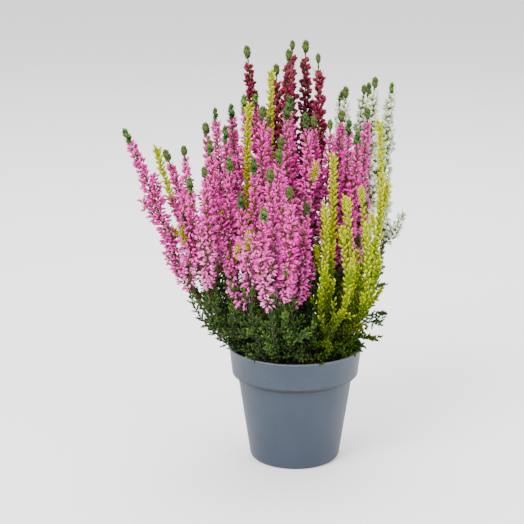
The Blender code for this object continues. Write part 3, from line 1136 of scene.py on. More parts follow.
def low_stems(bed: Bed) -> list[Stem]:
    """Short side stems over the rim, each of them grown by the plant nearest to its direction.

    Args:
        bed: Where the plant stands.

    Returns:
        The side stems that this plant grows.
    """
    outer = [other for other in BEDS if math.hypot(*other.crown) > RULE.low_radius / 3]
    start = Vector((*bed.foot, RULE.soil_top + RULE.shoot_root))
    dice = random.Random(RULE.low_shoots)
    stems = []
    for k in range(RULE.low_shoots):
        angle = math.tau * (k + dice.uniform(-0.2, 0.2)) / RULE.low_shoots
        radius = RULE.low_radius * (1 + dice.uniform(-0.05, 0.08))
        way = Vector((math.cos(angle), math.sin(angle)))
        owner = max(outer, key=lambda other: way.dot(Vector(other.crown).normalized()))
        if owner is not bed:
            continue
        rise = RULE.low_rise * RULE.low_rises[k % len(RULE.low_rises)]
        tip = Vector((*(radius * way), RULE.pot_height + rise))
        bend = start.lerp(tip, 0.55)
        bend.z = RULE.pot_height + 0.5 * rise + 0.4 * RULE.low_rise
        stems.append(Stem(start, bend, tip))
    return stems


@dataclass(frozen=True)
class Filling:
    """The fine shoots between the solids, which hide the soil, lean over the rim or stand among the spikes.

    A rise is the height of the shoots' tips over the rim, a lift that of their bends, and a reach how far
    out the tips are. The low shoots share one seed, and the green ones' seeds follow their plants.
    """

    cover_shoots: int = 86
    cover_radius: float = 56 * MM
    cover_rise: tuple[float, float] = (5 * MM, 24 * MM)
    lowest_rise: tuple[float, float] = (-3 * MM, 3 * MM)
    bare_radius: float = 18 * MM
    over_rim_from: float = 42 * MM
    over_rim_lift: float = 5 * MM
    rim_shoots: int = 50
    rim_start: float = 36 * MM
    rim_owner: float = 40 * MM
    rim_bend: float = 43 * MM
    rim_lift: float = 7 * MM
    rim_reach: tuple[float, float] = (48 * MM, 58 * MM)
    rim_rise: tuple[float, float] = (2 * MM, 9 * MM)
    green_shoots: int = 4
    green_reach: tuple[float, float] = (0.5, 0.9)
    green_height: tuple[float, float] = (0.36, 0.50)
    green_seed: int = 200
    seed: int = 99

    def undergrowth(self, bed: Bed) -> list[Stem]:
        """The short shoots that one plant grows low down, over the soil and out over the rim."""
        dice = random.Random(self.seed)
        return self.cover(bed, dice) + self.over_rim(bed, dice)

    def cover(self, bed: Bed, dice: random.Random) -> list[Stem]:
        """Shoots spread evenly over the soil, each of them grown by the plant whose foot is nearest.

        Args:
            bed: Where the plant stands.
            dice: The random numbers that all plants' shoots share.

        Returns:
            The shoots that this plant grows.
        """
        start = Vector((*bed.foot, RULE.soil_top + RULE.shoot_root + 2 * MM))
        stems = []
        for k in range(self.cover_shoots):
            radius = self.cover_radius * math.sqrt((k + 0.5) / self.cover_shoots)
            angle = k * GOLDEN_TURN + dice.uniform(-0.1, 0.1)
            rise = dice.uniform(*self.cover_rise)
            if k % 3 == 0:
                rise = dice.uniform(*self.lowest_rise)
            place = (radius * math.cos(angle), radius * math.sin(angle))
            owner = min(BEDS, key=lambda other: math.dist(other.foot, place))
            if radius < self.bare_radius or owner is not bed:
                continue
            tip = Vector((*place, RULE.pot_height + rise))
            bend = start.lerp(tip, 0.6)
            lift = self.over_rim_lift if radius > self.over_rim_from else 0
            bend.z = RULE.pot_height + max(0.5 * rise, 0) + lift
            stems.append(Stem(start, bend, tip))
        return stems

    def over_rim(self, bed: Bed, dice: random.Random) -> list[Stem]:
        """Shoots that lean out over the rim, each of them grown by the plant whose foot is nearest.

        Args:
            bed: Where the plant stands.
            dice: The random numbers that all plants' shoots share.

        Returns:
            The shoots that this plant grows.
        """
        stems = []
        for k in range(self.rim_shoots):
            angle = math.tau * (k + dice.uniform(-0.3, 0.3)) / self.rim_shoots
            way = Vector((math.cos(angle), math.sin(angle), 0))
            owner = min(BEDS, key=lambda other: math.dist(other.foot, self.rim_owner * way.xy))
            tip = way * dice.uniform(*self.rim_reach)
            tip.z = RULE.pot_height + dice.uniform(*self.rim_rise)
            if owner is bed:
                start = way * self.rim_start + Vector((0, 0, RULE.soil_top + 1 * MM))
                bend = way * self.rim_bend + Vector((0, 0, RULE.pot_height + self.rim_lift))
                stems.append(Stem(start, bend, tip))
        return stems

    def green(self, bed: Bed) -> list[Stem]:
        """Shorter shoots without flowers that fill the plant's crown below its spikes.

        Args:
            bed: Where the plant stands.

        Returns:
            The shoots, none of them on a plant that bears no florets.
        """
        if bed.bloom is Bloom.NONE:
            return []
        dice = random.Random(self.green_seed + bed.seed)
        tips = []
        for k in range(self.green_shoots):
            angle = math.tau * (k + dice.uniform(-0.3, 0.3)) / self.green_shoots
            reach = bed.spread * dice.uniform(*self.green_reach)
            x, y = bed.crown[0] + reach * math.cos(angle), bed.crown[1] + reach * math.sin(angle)
            tips.append((x, y, (RULE.dome(x, y) + bed.extra_height) * dice.uniform(*self.green_height)))
        tips += GAP_SHOOTS.get(bed.name, ())
        return [RULE.stem_to(bed.foot, *tip, RULE.bend_out) for tip in tips]


FILLING = Filling()


def flowering_side_shoots(stem: Stem) -> list[Stem]:
    """The short flowering side shoots low on a spike.

    Args:
        stem: The spike's stem.

    Returns:
        The side shoots, the same ones each time for the same stem.
    """
    begins, ends = RULE.spike_span(stem)
    seed = round(stem.tip.x / (0.1 * MM)) + 7 * round(stem.tip.y / (0.1 * MM))
    high = begins + 0.6 * (ends - begins)
    return side_shoots(stem, seed, count=3, low=begins - 0.05, high=high)


# Sub-assemblies


class Tubes:
    """Stems gathered as one curve object, so that they become a mesh together."""

    def __init__(self, name: str, sides: int = 1) -> None:
        """Starts an empty set of tubes.

        Args:
            name: The curve's name.
            sides: The bevel resolution, 0 for four sides and 1 for six.
        """
        self.curve = bpy.data.curves.new(name, "CURVE")
        self.curve.dimensions = "3D"
        self.curve.bevel_depth = 1.0
        self.curve.bevel_resolution = sides
        self.curve.use_fill_caps = True
        self.name = name

    def add(self, places: Sequence[Vector], radii: Sequence[float]) -> None:
        """Adds one tube.

        Args:
            places: The places that it runs through.
            radii: Its radius at each of them.
        """
        spline = self.curve.splines.new("POLY")
        spline.points.add(len(places) - 1)
        for point, place, radius in zip(spline.points, places, radii):
            point.co = (*place, 1.0)
            point.radius = radius

    def to_mesh(self, material: bpy.types.Material) -> bpy.types.Object:
        """Turns the tubes into a smooth mesh object.

        Args:
            material: The tubes' material.

        Returns:
            The object, which is also the active one.
        """
        thing = bpy.data.objects.new(self.name, self.curve)
        bpy.context.scene.collection.objects.link(thing)
        deselect_all()
        thing.select_set(True)
        bpy.context.view_layer.objects.active = thing
        bpy.ops.object.convert(target="MESH")
        thing = bpy.context.object
        thing.data.materials.clear()
        thing.data.materials.append(material)
        thing.data.polygons.foreach_set("use_smooth", np.ones(len(thing.data.polygons), bool))
        return thing


@dataclass
class LeafyPlant:
    """The green or yellow part of one plant: its woody foot, its stems and all their leafy side shoots.

    A branch's wood is thinner at its tip by the taper. A twig low in the pot is left out where its tip would
    be more than the drop under the rim, less the slope times how far out it is. A knob's leaves lean by
    degrees from the stem's own direction. Side wood is that of the flowering side shoots.
    """

    name: str
    foot: tuple[float, float]
    stems: list[Stem]
    leafage: Leafage
    habit: Habit
    seed: int
    side_stems: list[Stem] = field(default_factory=list)
    undergrowth: list[Stem] = field(default_factory=list)
    green_shoots: list[Stem] = field(default_factory=list)
    joint_step: float = 9 * MM
    taper: float = 0.68
    upturn: float = 0.12
    twig_length: float = 22 * MM
    twig_limit: float = 78 * MM
    twig_drop: float = 48 * MM
    twig_slope: float = 0.85
    small_leaf_step: float = 1.0 * MM
    small_leaf_lengths: tuple[float, float] = (4.8 * MM, 8.3 * MM)
    small_leaf_girth: float = 4.2 * MM
    tip_leaf: float = 3.3 * MM
    tip_girth: float = 4.6 * MM
    tip_leaves: int = 44
    tip_spread: float = 1.9
    knob_leaf: float = 3.7 * MM
    knob_girth: float = 4.8 * MM
    knob_leaves: int = 38
    knob_lean: float = 80
    knob_lean_change: float = -68
    knob_lean_scatter: float = 8
    neck_foot: float = 10 * MM
    neck_leaves: int = 8
    neck_leaf: float = 2.6 * MM
    neck_girth: float = 3.6 * MM
    tuft_share: float = 0.17
    side_tip_share: float = 0.45
    tuft_length: float = 17 * MM
    side_joints: int = 4
    side_wood: tuple[float, float] = (0.55 * MM, 0.23 * MM)
    foot_depth: float = 6 * MM
    foot_radius: float = 2.3 * MM
    foot_heights: tuple[float, ...] = (0, 6 * MM, 10 * MM, 13 * MM, 16 * MM)
    foot_widths: tuple[float, ...] = (1.25, 1.1, 1.0, 1.15, 0.9)

    def build(
        self,
        patterns: Patterns,
        leaf: bpy.types.Material,
        tuft: bpy.types.Material,
        wood: bpy.types.Material,
    ) -> bpy.types.Object:
        """Builds the piece.

        Args:
            patterns: The modelled leaf shapes.
            leaf: The leaves' material.
            tuft: The material of a few brighter tufts.
            wood: The stems' material.

        Returns:
            The finished object.
        """
        self.dice = random.Random(self.seed)
        self.leaves = Swarm(patterns.leaf)
        self.sprigs = Swarm(patterns.sprig if self.leafage is Leafage.GREEN else patterns.plume)
        self.scales, self.tufts = Swarm(patterns.scale), Swarm(patterns.leaf)
        self.tubes = Tubes(self.name + "_wood", 0)
        self.add_foot()
        for stem in self.stems:
            self.add_tall_stem(stem)
        for stem in self.side_stems:
            self.add_branch(stem, SHORT_STEM)
            self.add_twigs(stem, low=0.35, high=0.85, count=3, size=0.75)
            self.add_tip(stem, size=0.8)
        for stem in self.undergrowth:
            self.add_branch(stem, LOW_SHOOT)
        for stem in self.green_shoots:
            self.add_branch(stem, SHORT_STEM)
            self.add_tip(stem, size=0.9)
        swarms = ((self.leaves, leaf), (self.scales, leaf), (self.sprigs, leaf), (self.tufts, tuft))
        greens = mesh_of(self.name, swarms)
        woods = self.tubes.to_mesh(wood)
        deselect_all()
        woods.select_set(True)
        greens.select_set(True)
        bpy.context.view_layer.objects.active = greens
        bpy.ops.object.join()
        return greens

    def add_foot(self) -> None:
        """Adds the gnarled foot that stands in the soil."""
        x, y = self.foot
        base = Vector((x, y, RULE.soil_top - self.foot_depth))
        places = [base + Vector((0, 0, height)) for height in self.foot_heights]
        self.tubes.add(places, [self.foot_radius * width for width in self.foot_widths])

    def add_tall_stem(self, stem: Stem) -> None:
        """Adds one tall stem with its leaves, its twigs, its side shoots and its leafy tip.

        Args:
            stem: The stem.
        """
        twigs = self.habit.twigs_per_stem
        if self.leafage is Leafage.YELLOW:
            self.add_branch(stem, YELLOW_STEM)
            self.add_twigs(stem, low=0.08, high=0.42, count=twigs, size=1.0)
            self.add_tip(stem, size=1.0)
            for shoot in side_shoots(stem, self.dice.randrange(1000), count=2, low=0.42, high=0.76):
                self.add_branch(shoot, SIDE_SHOOT)
                self.add_tip(shoot, size=0.85)
            return
        begins, ends = RULE.spike_span(stem)
        self.add_branch(stem, FLOWERING_STEM, sprigs_to=begins + 0.02, wood_to=1.0)
        self.add_twigs(stem, low=0.09, high=begins, count=twigs, size=1.0)
        self.add_small_leaves(stem, begins=begins, ends=ends - stem.neck / stem.length)
        self.add_knob(stem, size=1.0)
        for shoot in flowering_side_shoots(stem):
            self.add_flowering_side_shoot(shoot)

    def add_flowering_side_shoot(self, shoot: Stem) -> None:
        """Adds a side shoot low on a spike: its thin wood, its small leaves and, by luck, a tuft or a tip.

        Args:
            shoot: The side shoot.
        """
        thick, thin = self.side_wood
        shares = [k / self.side_joints for k in range(self.side_joints + 1)]
        self.tubes.add([shoot.at(t) for t in shares], [thick + (thin - thick) * t for t in shares])
        self.add_small_leaves(shoot, begins=0.1, ends=1.0)
        luck = self.dice.random()
        if luck < self.tuft_share:
            self.add_tip(shoot, size=1.45, leaves=self.tufts, reach=self.tuft_length)
        elif luck < self.side_tip_share:
            self.add_knob(shoot, size=0.85)

    def add_branch(self, stem: Stem, kind: Branching, sprigs_to: float = 1.0, wood_to: float = 0.97) -> None:
        """Adds a branch's wood, and sprigs along a stretch of it.

        Args:
            stem: The branch's centreline.
            kind: How it is clothed.
            sprigs_to: The share at which its sprigs stop.
            wood_to: The share at which its wood ends.
        """
        habit, start = self.habit, kind.sprigs_from
        joints = max(3, min(12, round(stem.length / self.joint_step)))
        shares = [wood_to * k / joints for k in range(joints + 1)]
        self.tubes.add([stem.at(t) for t in shares], [kind.radius * (1 - self.taper * t) for t in shares])
        step = habit.low_step if kind.is_low else habit.sprig_step
        count = max(3, round((sprigs_to - start) * stem.length / step))
        turn = self.dice.uniform(0, math.tau)
        tone = habit.freshness + (1 - habit.freshness) * self.dice.random()
        for k in range(count):
            share = (k + self.dice.uniform(0.0, 0.7)) / count
            t = start + share * (sprigs_to - start)
            turn += GOLDEN_TURN + self.dice.uniform(-0.3, 0.3)
            out, way = stem.spoke(t, turn), stem.heading(t)
            lean = habit.sprig_lean * (1.2 - 0.5 * share * habit.slimming) * self.dice.uniform(0.75, 1.25)
            grow = out * math.sin(lean) + way * math.cos(lean) + Vector((0, 0, self.upturn))
            length = habit.sprig_length * kind.fullness * self.dice.uniform(0.7, 1.1)
            length *= 1.0 - 0.3 * share * habit.slimming
            place = stem.at(t) + out * 0.3 * MM
            chance = 0.7 * tone + 0.3 * self.dice.random()
            self.sprigs.add(place, grow.normalized(), out, length, habit.sprig_girth, chance, t)

    def add_twigs(self, stem: Stem, low: float, high: float, count: int, size: float) -> None:
        """Adds short branching twigs low on a stem.

        Args:
            stem: The stem that they grow on.
            low: The share of the stem where they begin.
            high: The share where they end.
            count: How many there are.
            size: Their length, 1 for full.
        """
        turn = self.dice.uniform(0, math.tau)
        for k in range(count):
            t = low + (high - low) * (k + self.dice.random()) / count
            turn += GOLDEN_TURN
            out, way = stem.spoke(t, turn), stem.heading(t)
            length = self.twig_length * size * self.dice.uniform(0.7, 1.15)
            start = stem.at(t)
            bend = start + (out * 0.75 + way * 0.5) * 0.5 * length
            tip = bend + (out * 0.3 + way * 0.5 + Vector((0, 0, 0.4))) * 0.6 * length
            out_by = math.hypot(tip.x, tip.y)
            lowest = RULE.pot_height - self.twig_drop + self.twig_slope * out_by
            too_low = start.z < RULE.pot_height + 2 * MM and tip.z < lowest
            if too_low or out_by > self.twig_limit:
                continue
            self.add_branch(Stem(start, bend, tip), TWIG)

    def add_small_leaves(self, stem: Stem, begins: float, ends: float) -> None:
        """Adds the small leaves that show between a spike's florets.

        Args:
            stem: The spike's stem.
            begins: The share of the stem where they begin.
            ends: The share where they end.
        """
        count = round((ends - begins) * stem.length / self.small_leaf_step)
        turn = 0.0
        for k in range(count):
            t = begins + (ends - begins) * (k + 0.5) / count
            turn += GOLDEN_TURN
            out = stem.spoke(t, turn)
            grow = (out * 0.95 + stem.heading(t)).normalized()
            length = self.dice.uniform(*self.small_leaf_lengths)
            chance = self.dice.uniform(0.4, 1.0)
            self.leaves.add(stem.at(t) + out * 0.5 * MM, grow, out, length, self.small_leaf_girth, chance, t)

    def add_tip(
        self, stem: Stem, size: float, leaves: Swarm | None = None, reach: float = RULE.tip_length
    ) -> None:
        """Adds the slim leafy tip of a stem without florets, or a tuft.

        Args:
            stem: The stem.
            size: The tip's size, 1 for full.
            leaves: The swarm that its leaves join, if not the plant's own.
            reach: The tip's length.
        """
        leaves = self.leaves if leaves is None else leaves
        length = min(reach / stem.length, 0.9)
        count = round(self.tip_leaves * reach / RULE.tip_length)
        freshness = self.dice.random()
        size *= self.dice.uniform(0.9, 1.2)
        for k in range(count):
            share = k / (count - 1)
            t = 1 - length * (0.86 - 0.72 * share)
            out = stem.spoke(t, k * GOLDEN_TURN)
            spread = self.tip_spread * math.sin(math.pi * (0.25 + 0.65 * share))
            grow = (out * spread + stem.heading(t)).normalized()
            leaf = self.tip_leaf * size * self.dice.uniform(0.85, 1.1)
            chance = 0.35 * self.dice.random() + 0.65 * freshness
            leaves.add(stem.at(t), grow, out, leaf, self.tip_girth * size, chance, 1.0)

    def add_knob(self, stem: Stem, size: float) -> None:
        """Ends a flowering stem in an egg-shaped knob or a longer leafy tip, on a thin scaly neck.

        Args:
            stem: The stem.
            size: The knob's size, 1 for full.
        """
        freshness = self.dice.random()
        size *= self.dice.uniform(0.8, 1.2)
        style = LEAFY_TIP if self.dice.random() < self.habit.leafy_tips else KNOB
        for k in range(self.knob_leaves):
            share = k / (self.knob_leaves - 1)
            t = 1 - size * style.height * (1 - share) / stem.length
            out = stem.spoke(t, k * GOLDEN_TURN)
            scatter = self.dice.uniform(-self.knob_lean_scatter, self.knob_lean_scatter)
            lean = math.radians(self.knob_lean + self.knob_lean_change * share + scatter)
            grow = out * math.sin(lean) + stem.heading(t) * math.cos(lean)
            length = self.knob_leaf * size * math.sin(math.pi * (0.2 + 0.62 * share))
            chance = 0.35 * self.dice.random() + style.freshness * freshness
            kind, longer = (self.scales, 1.0) if k % 3 < style.blunt_in_three else (self.leaves, 1.3)
            kind.add(stem.at(t), grow, out, length * longer, self.knob_girth * size, chance, style.along)
        for k in range(self.neck_leaves):
            below = KNOB.height + (self.neck_foot - KNOB.height) * (k + 0.5) / self.neck_leaves
            t = 1 - below / stem.length
            out = stem.spoke(t, k * GOLDEN_TURN)
            grow = (0.3 * out + stem.heading(t)).normalized()
            place, chance = stem.at(t) + 0.2 * MM * out, 0.5 * freshness
            self.leaves.add(place, grow, out, self.neck_leaf, self.neck_girth, chance, KNOB.along)


@dataclass
class FloretSpike:
    """The florets of one flowering stem: small loose bunches in a spiral round it.

    Where the bloom isn't pink, its florets are wider by the stoutness and their bunches' step is smaller by
    the closeness. Leans are in degrees from the stem's own direction, the turns' scatter is in radians.
    Open florets stand only below a share of the spike. A share of the bunches are full, and the others
    miss a floret. The older a spike is, the more of its florets have the faded colour.
    """

    name: str
    stem: Stem
    bloom: Bloom
    seed: int
    step: float = 1.4 * MM
    bunch: int = 5
    floret_length: float = 5.1 * MM
    floret_width: float = 3.6 * MM
    stand_out: tuple[float, float] = (0.6 * MM, 3.8 * MM)
    side_girth: float = 0.72
    stoutness: float = 1.45
    closeness: float = 0.88
    stray_closeness: float = 0.8
    full_bunches: float = 0.7
    open_share: float = 0.07
    open_below: float = 0.85
    foot_fullness: float = 0.62
    tip_fullness: float = 0.42
    turn_scatter: float = 0.55
    lowest_lean: float = 104
    lean_change: float = -62
    lean_scatter: float = 20
    lump_length: float = 2.2 * MM
    front_depth: float = 60 * MM
    ages: tuple[float, float] = (-0.3, 0.1)
    stray_age: float = -0.3
    stray_slope: float = 1.6

    @property
    def is_stray(self) -> bool:
        """Whether the spike leans far out of the plant."""
        tip = self.stem.tip
        return tip.z - RULE.pot_height < self.stray_slope * math.hypot(tip.x, tip.y)

    def fullness(self, share: float) -> float:
        """How far the florets stand out at a share of the spike: less at its foot, least at its tip."""
        return min(1.0, self.foot_fullness + 1.6 * share) * min(1.0, self.tip_fullness + 1.5 * (1 - share))

    def build(self, patterns: Patterns, petal: bpy.types.Material) -> bpy.types.Object:
        """Builds the piece.

        Args:
            patterns: The modelled floret shapes.
            petal: The florets' material.

        Returns:
            The finished object.
        """
        self.dice = random.Random(self.seed)
        self.florets, self.buds = Swarm(patterns.floret), Swarm(patterns.bud)
        front = min(1.0, max(0.0, 0.5 - self.stem.tip.y / self.front_depth))
        self.tone = 0.7 * self.dice.random() + 0.3 * front
        self.age = self.dice.uniform(*self.ages) + 0.06 * front
        if self.is_stray:
            self.tone, self.age = 0.0, self.stray_age
        begins, ends = RULE.spike_span(self.stem)
        ends -= self.stem.neck / self.stem.length
        self.add_bunches(self.stem, begins=begins, ends=ends, girth=1.0)
        for shoot in flowering_side_shoots(self.stem):
            self.add_bunches(shoot, begins=0.12, ends=1.0, girth=self.side_girth)
        return mesh_of(self.name, ((self.florets, petal), (self.buds, petal)))

    def add_bunches(self, stem: Stem, begins: float, ends: float, girth: float) -> None:
        """Adds loose bunches of florets along a stretch of a stem.

        Args:
            stem: The stem.
            begins: The share at which they begin.
            ends: The share at which they end.
            girth: How far they stand out, 1 for full.
        """
        dice, is_pink = self.dice, self.bloom is Bloom.PINK
        step = self.step * (1.0 if is_pink else self.closeness)
        step *= self.stray_closeness if self.is_stray else 1.0
        count = round((ends - begins) * stem.length / step)
        lump_phase = dice.uniform(0, math.tau)
        bunch = round(self.bunch * (1.2 * girth - 0.2))
        turn = dice.uniform(0, math.tau)
        for k in range(count):
            turn += GOLDEN_TURN
            for _ in range(bunch if dice.random() < self.full_bunches else bunch - 1):
                share = min(1.0, max(0.0, (k + dice.uniform(-0.4, 1.4)) / count))
                t = begins + share * (ends - begins)
                out = stem.spoke(t, turn + dice.gauss(0, self.turn_scatter))
                lean = self.lowest_lean + self.lean_change * share + dice.gauss(0, self.lean_scatter)
                lean = math.radians(lean)
                grow = (out * math.sin(lean) + stem.heading(t) * math.cos(lean)).normalized()
                lumpiness = 0.95 + 0.25 * math.sin(lump_phase + t * stem.length / self.lump_length)
                full = girth * self.fullness(share) * lumpiness
                start = full * dice.uniform(*self.stand_out)
                size = (0.72 + 0.28 * full) * dice.uniform(0.8, 1.1)
                may_open = share < self.open_below
                kind = self.florets if may_open and dice.random() < self.open_share else self.buds
                length, width = self.floret_length * size, self.floret_width * size
                width *= 1.0 if is_pink else self.stoutness
                along = share if girth == 1.0 else 0.2 + 0.5 * share
                along = min(1.0, max(0.0, along - self.age))
                chance = 0.4 * self.tone + 0.6 * dice.random()
                kind.add(stem.at(t) + out * start, grow, stem.heading(t), length, width, chance, along)


def turned_solid(name: str, outline: Sequence[tuple[float, float]], sides: int) -> bpy.types.Object:
    """Draws a circle up and down along an outline, and closes both ends on the axis.

    Args:
        name: The object's name.
        outline: Radius and height of each ring.
        sides: How many sides a ring has.

    Returns:
        The closed object, in object mode.
    """
    deselect_all()
    radius, height = outline[0]
    bpy.ops.mesh.primitive_circle_add(vertices=sides, radius=radius, location=(0, 0, height))
    thing = bpy.context.object
    bpy.ops.object.transform_apply(location=True)
    bpy.ops.object.mode_set(mode="EDIT")
    bpy.ops.mesh.select_all(action="SELECT")
    bpy.ops.mesh.extrude_region_move()
    bpy.ops.mesh.merge(type="CENTER")
    pick_corners(thing, lambda place: math.hypot(place.x, place.y) > 0.5 * radius)
    for next_radius, next_height in outline[1:]:
        move = {"value": (0, 0, next_height - height)}
        bpy.ops.mesh.extrude_region_move(TRANSFORM_OT_translate=move)
        ratio = next_radius / radius
        bpy.ops.transform.resize(value=(ratio, ratio, 1), center_override=(0, 0, next_height))
        radius, height = next_radius, next_height
    bpy.ops.mesh.extrude_region_move()
    bpy.ops.mesh.merge(type="CENTER")
    bpy.ops.mesh.select_all(action="SELECT")
    bpy.ops.mesh.normals_make_consistent(inside=False)
    bpy.ops.object.mode_set(mode="OBJECT")
    thing.name = name
    thing.data.name = name
    return thing


@dataclass
class NurseryPot:
    """The thin plastic pot: a deep band under a beaded rim, a step, a tapered body and a foot ring."""

    sides: int = 96
    height: float = RIM
    rim_radius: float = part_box("pot")[1][0]
    band_height: float = BAND_HEIGHT
    band_foot: float = 49.4 * MM
    body_top: float = 45.2 * MM
    base: float = 35.5 * MM
    wall: float = 1.2 * MM
    floor: float = 3.2 * MM
    drain_holes: int = 6
    drain_circle: float = 19 * MM
    drain_radius: float = 3.2 * MM
    drain_sides: int = 24

    def outline(self) -> list[tuple[float, float]]:
        """Draws the pot's section, from the middle of its floor over the rim to the middle of its underside.

        Returns:
            Radius and height of each ring.
        """
        ledge = self.height - self.band_height
        lip = self.rim_radius
        top = self.height
        return [
            (4 * MM, self.floor),
            (self.base - self.wall - 1.5 * MM, self.floor),
            (self.base - self.wall + 0.1 * MM, self.floor + 1.2 * MM),
            (self.body_top - self.wall - 0.2 * MM, ledge - 0.5 * MM),
            (self.body_top - self.wall + 0.3 * MM, ledge + self.wall),
            (self.band_foot - self.wall - 0.6 * MM, ledge + self.wall),
            (self.band_foot - self.wall, ledge + self.wall + 0.8 * MM),
            (lip - 1.9 * MM, top - 1.2 * MM),
            (lip - 1.6 * MM, top - 0.35 * MM),
            (lip - 1.0 * MM, top),
            (lip - 0.35 * MM, top - 0.2 * MM),
            (lip, top - 0.8 * MM),
            (lip - 0.1 * MM, top - 1.5 * MM),
            (lip - 0.6 * MM, top - 2.0 * MM),
            (lip - 0.85 * MM, top - 2.6 * MM),
            (self.band_foot + 0.1 * MM, ledge + 0.6 * MM),
            (self.band_foot - 0.05 * MM, ledge - 0.5 * MM),
            (self.band_foot - 0.4 * MM, ledge - 0.9 * MM),
            (self.band_foot - 0.9 * MM, ledge - 0.8 * MM),
            (self.band_foot - 1.2 * MM, ledge - 0.3 * MM),
            (self.band_foot - 1.4 * MM, ledge + 0.4 * MM),
            (self.body_top + 0.5 * MM, ledge + 0.4 * MM),
            (self.body_top + 0.1 * MM, ledge),
            (self.body_top - 0.05 * MM, ledge - 1.4 * MM),
            (self.base + 0.4 * MM, 6 * MM),
            (self.base + 0.1 * MM, 3.2 * MM),
            (self.base - 0.7 * MM, 1.3 * MM),
            (self.base - 1.9 * MM, 0.25 * MM),
            (self.base - 2.8 * MM, 0),
            (self.base - 8.6 * MM, 0),
            (self.base - 9.4 * MM, 0.4 * MM),
            (self.base - 10.8 * MM, 1.8 * MM),
            (9.8 * MM, 1.8 * MM),
            (8.4 * MM, 0.3 * MM),
            (7.8 * MM, 0),
            (3 * MM, 0),
        ]

    def build(self, plastic: bpy.types.Material) -> bpy.types.Object:
        """Builds the pot with its drain holes.

        Args:
            plastic: The pot's material.

        Returns:
            The finished object.
        """
        pot = turned_solid("nursery_pot", self.outline(), self.sides)
        deselect_all()
        for k in range(self.drain_holes):
            angle = math.tau * (k + 0.5) / self.drain_holes
            bpy.ops.mesh.primitive_cylinder_add(
                vertices=self.drain_sides,
                radius=self.drain_radius,
                depth=12 * MM,
                location=(self.drain_circle * math.cos(angle), self.drain_circle * math.sin(angle), 0),
            )
            cutter = bpy.context.object
            cut = pot.modifiers.new("Drain", "BOOLEAN")
            cut.operation = "DIFFERENCE"
            cut.object = cutter
            cutter.select_set(False)
            pot.select_set(True)
            bpy.context.view_layer.objects.active = pot
            bpy.ops.object.modifier_apply(modifier=cut.name)
            pot.select_set(False)
            bpy.data.objects.remove(cutter)
        pot.select_set(True)
        bpy.context.view_layer.objects.active = pot
        bpy.ops.object.shade_smooth_by_angle(angle=math.radians(35))
        pot.data.materials.clear()
        pot.data.materials.append(plastic)
        return pot


@dataclass
class Soil:
    """Peat that fills the pot to below its rim, with crumbs and bits of bark lying on it."""

    edge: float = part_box("soil")[1][0]
    bottom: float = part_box("soil")[0][2]
    ledge_gap: float = 1.6 * MM
    body_radius: float = 43.6 * MM
    foot_radius: float = 33.9 * MM
    crown: float = 3 * MM
    lump: float = 1.5 * MM
    lump_width: float = 9 * MM
    grit_width: float = 3 * MM
    crumbs: int = 600
    crumb_seed: int = 5
    crumb_gap: float = 2.2 * MM
    crumb_sizes: tuple[float, float] = (0.7 * MM, 1.0 * MM)
    sides: int = 90
    rings: int = 26

    def height(self, x: float, y: float) -> float:
        """The lumpy surface's height at a place.

        Args:
            x: The place across.
            y: The place towards the back.

        Returns:
            The height.
        """
        share = min(1.0, math.hypot(x, y) / self.edge)
        place = Vector((x, y, 0.0))
        lumps = noise.noise(place / self.lump_width) * self.lump
        lumps += noise.noise(place / self.grit_width) * 0.45 * self.lump
        return RULE.soil_top + self.crown * (1 - share**2) + lumps * (1 - share**6)

    def build(self, patterns: Patterns, peat: bpy.types.Material) -> bpy.types.Object:
        """Builds the soil.

        Args:
            patterns: The modelled crumb.
            peat: The soil's material.

        Returns:
            The finished object.
        """
        top = RULE.soil_top
        outline = [(self.edge * (k + 1) / self.rings, top) for k in range(self.rings)]
        ledge = RULE.pot_height - BAND_HEIGHT + self.ledge_gap
        outline += [(self.edge - self.ledge_gap, ledge), (self.body_radius, ledge)]
        outline += [(self.foot_radius, self.bottom), (6 * MM, self.bottom)]
        soil = turned_solid("potting_soil", outline, self.sides)
        for corner in soil.data.vertices:
            if corner.co.z > top - 1e-5:
                corner.co.z = self.height(corner.co.x, corner.co.y)
        soil.data.polygons.foreach_set("use_smooth", np.ones(len(soil.data.polygons), bool))
        soil.data.materials.clear()
        soil.data.materials.append(peat)
        loose = mesh_of("soil_crumbs", ((self.scatter(patterns), peat),))
        loose.data.polygons.foreach_set("use_smooth", np.zeros(len(loose.data.polygons), bool))
        deselect_all()
        loose.select_set(True)
        soil.select_set(True)
        bpy.context.view_layer.objects.active = soil
        bpy.ops.object.join()
        return soil

    def scatter(self, patterns: Patterns) -> Swarm:
        """Scatters crumbs over the surface, up to a small gap from its edge.

        Args:
            patterns: The modelled crumb.

        Returns:
            The placed crumbs.
        """
        dice = random.Random(self.crumb_seed)
        crumbs = Swarm(patterns.crumb)
        for _ in range(self.crumbs):
            radius = (self.edge - self.crumb_gap) * math.sqrt(dice.random())
            turn = dice.uniform(0, math.tau)
            x, y = radius * math.cos(turn), radius * math.sin(turn)
            size = dice.uniform(*self.crumb_sizes) * (1 + 2.2 * dice.random() ** 4)
            way = Vector((dice.gauss(0, 1), dice.gauss(0, 1), dice.gauss(0, 0.5))).normalized()
            place = Vector((x, y, self.height(x, y) + 0.15 * size))
            crumbs.add(place, way, Vector((0, 0, 1)), size * dice.uniform(1, 2), size, dice.random(), 0)
        return crumbs


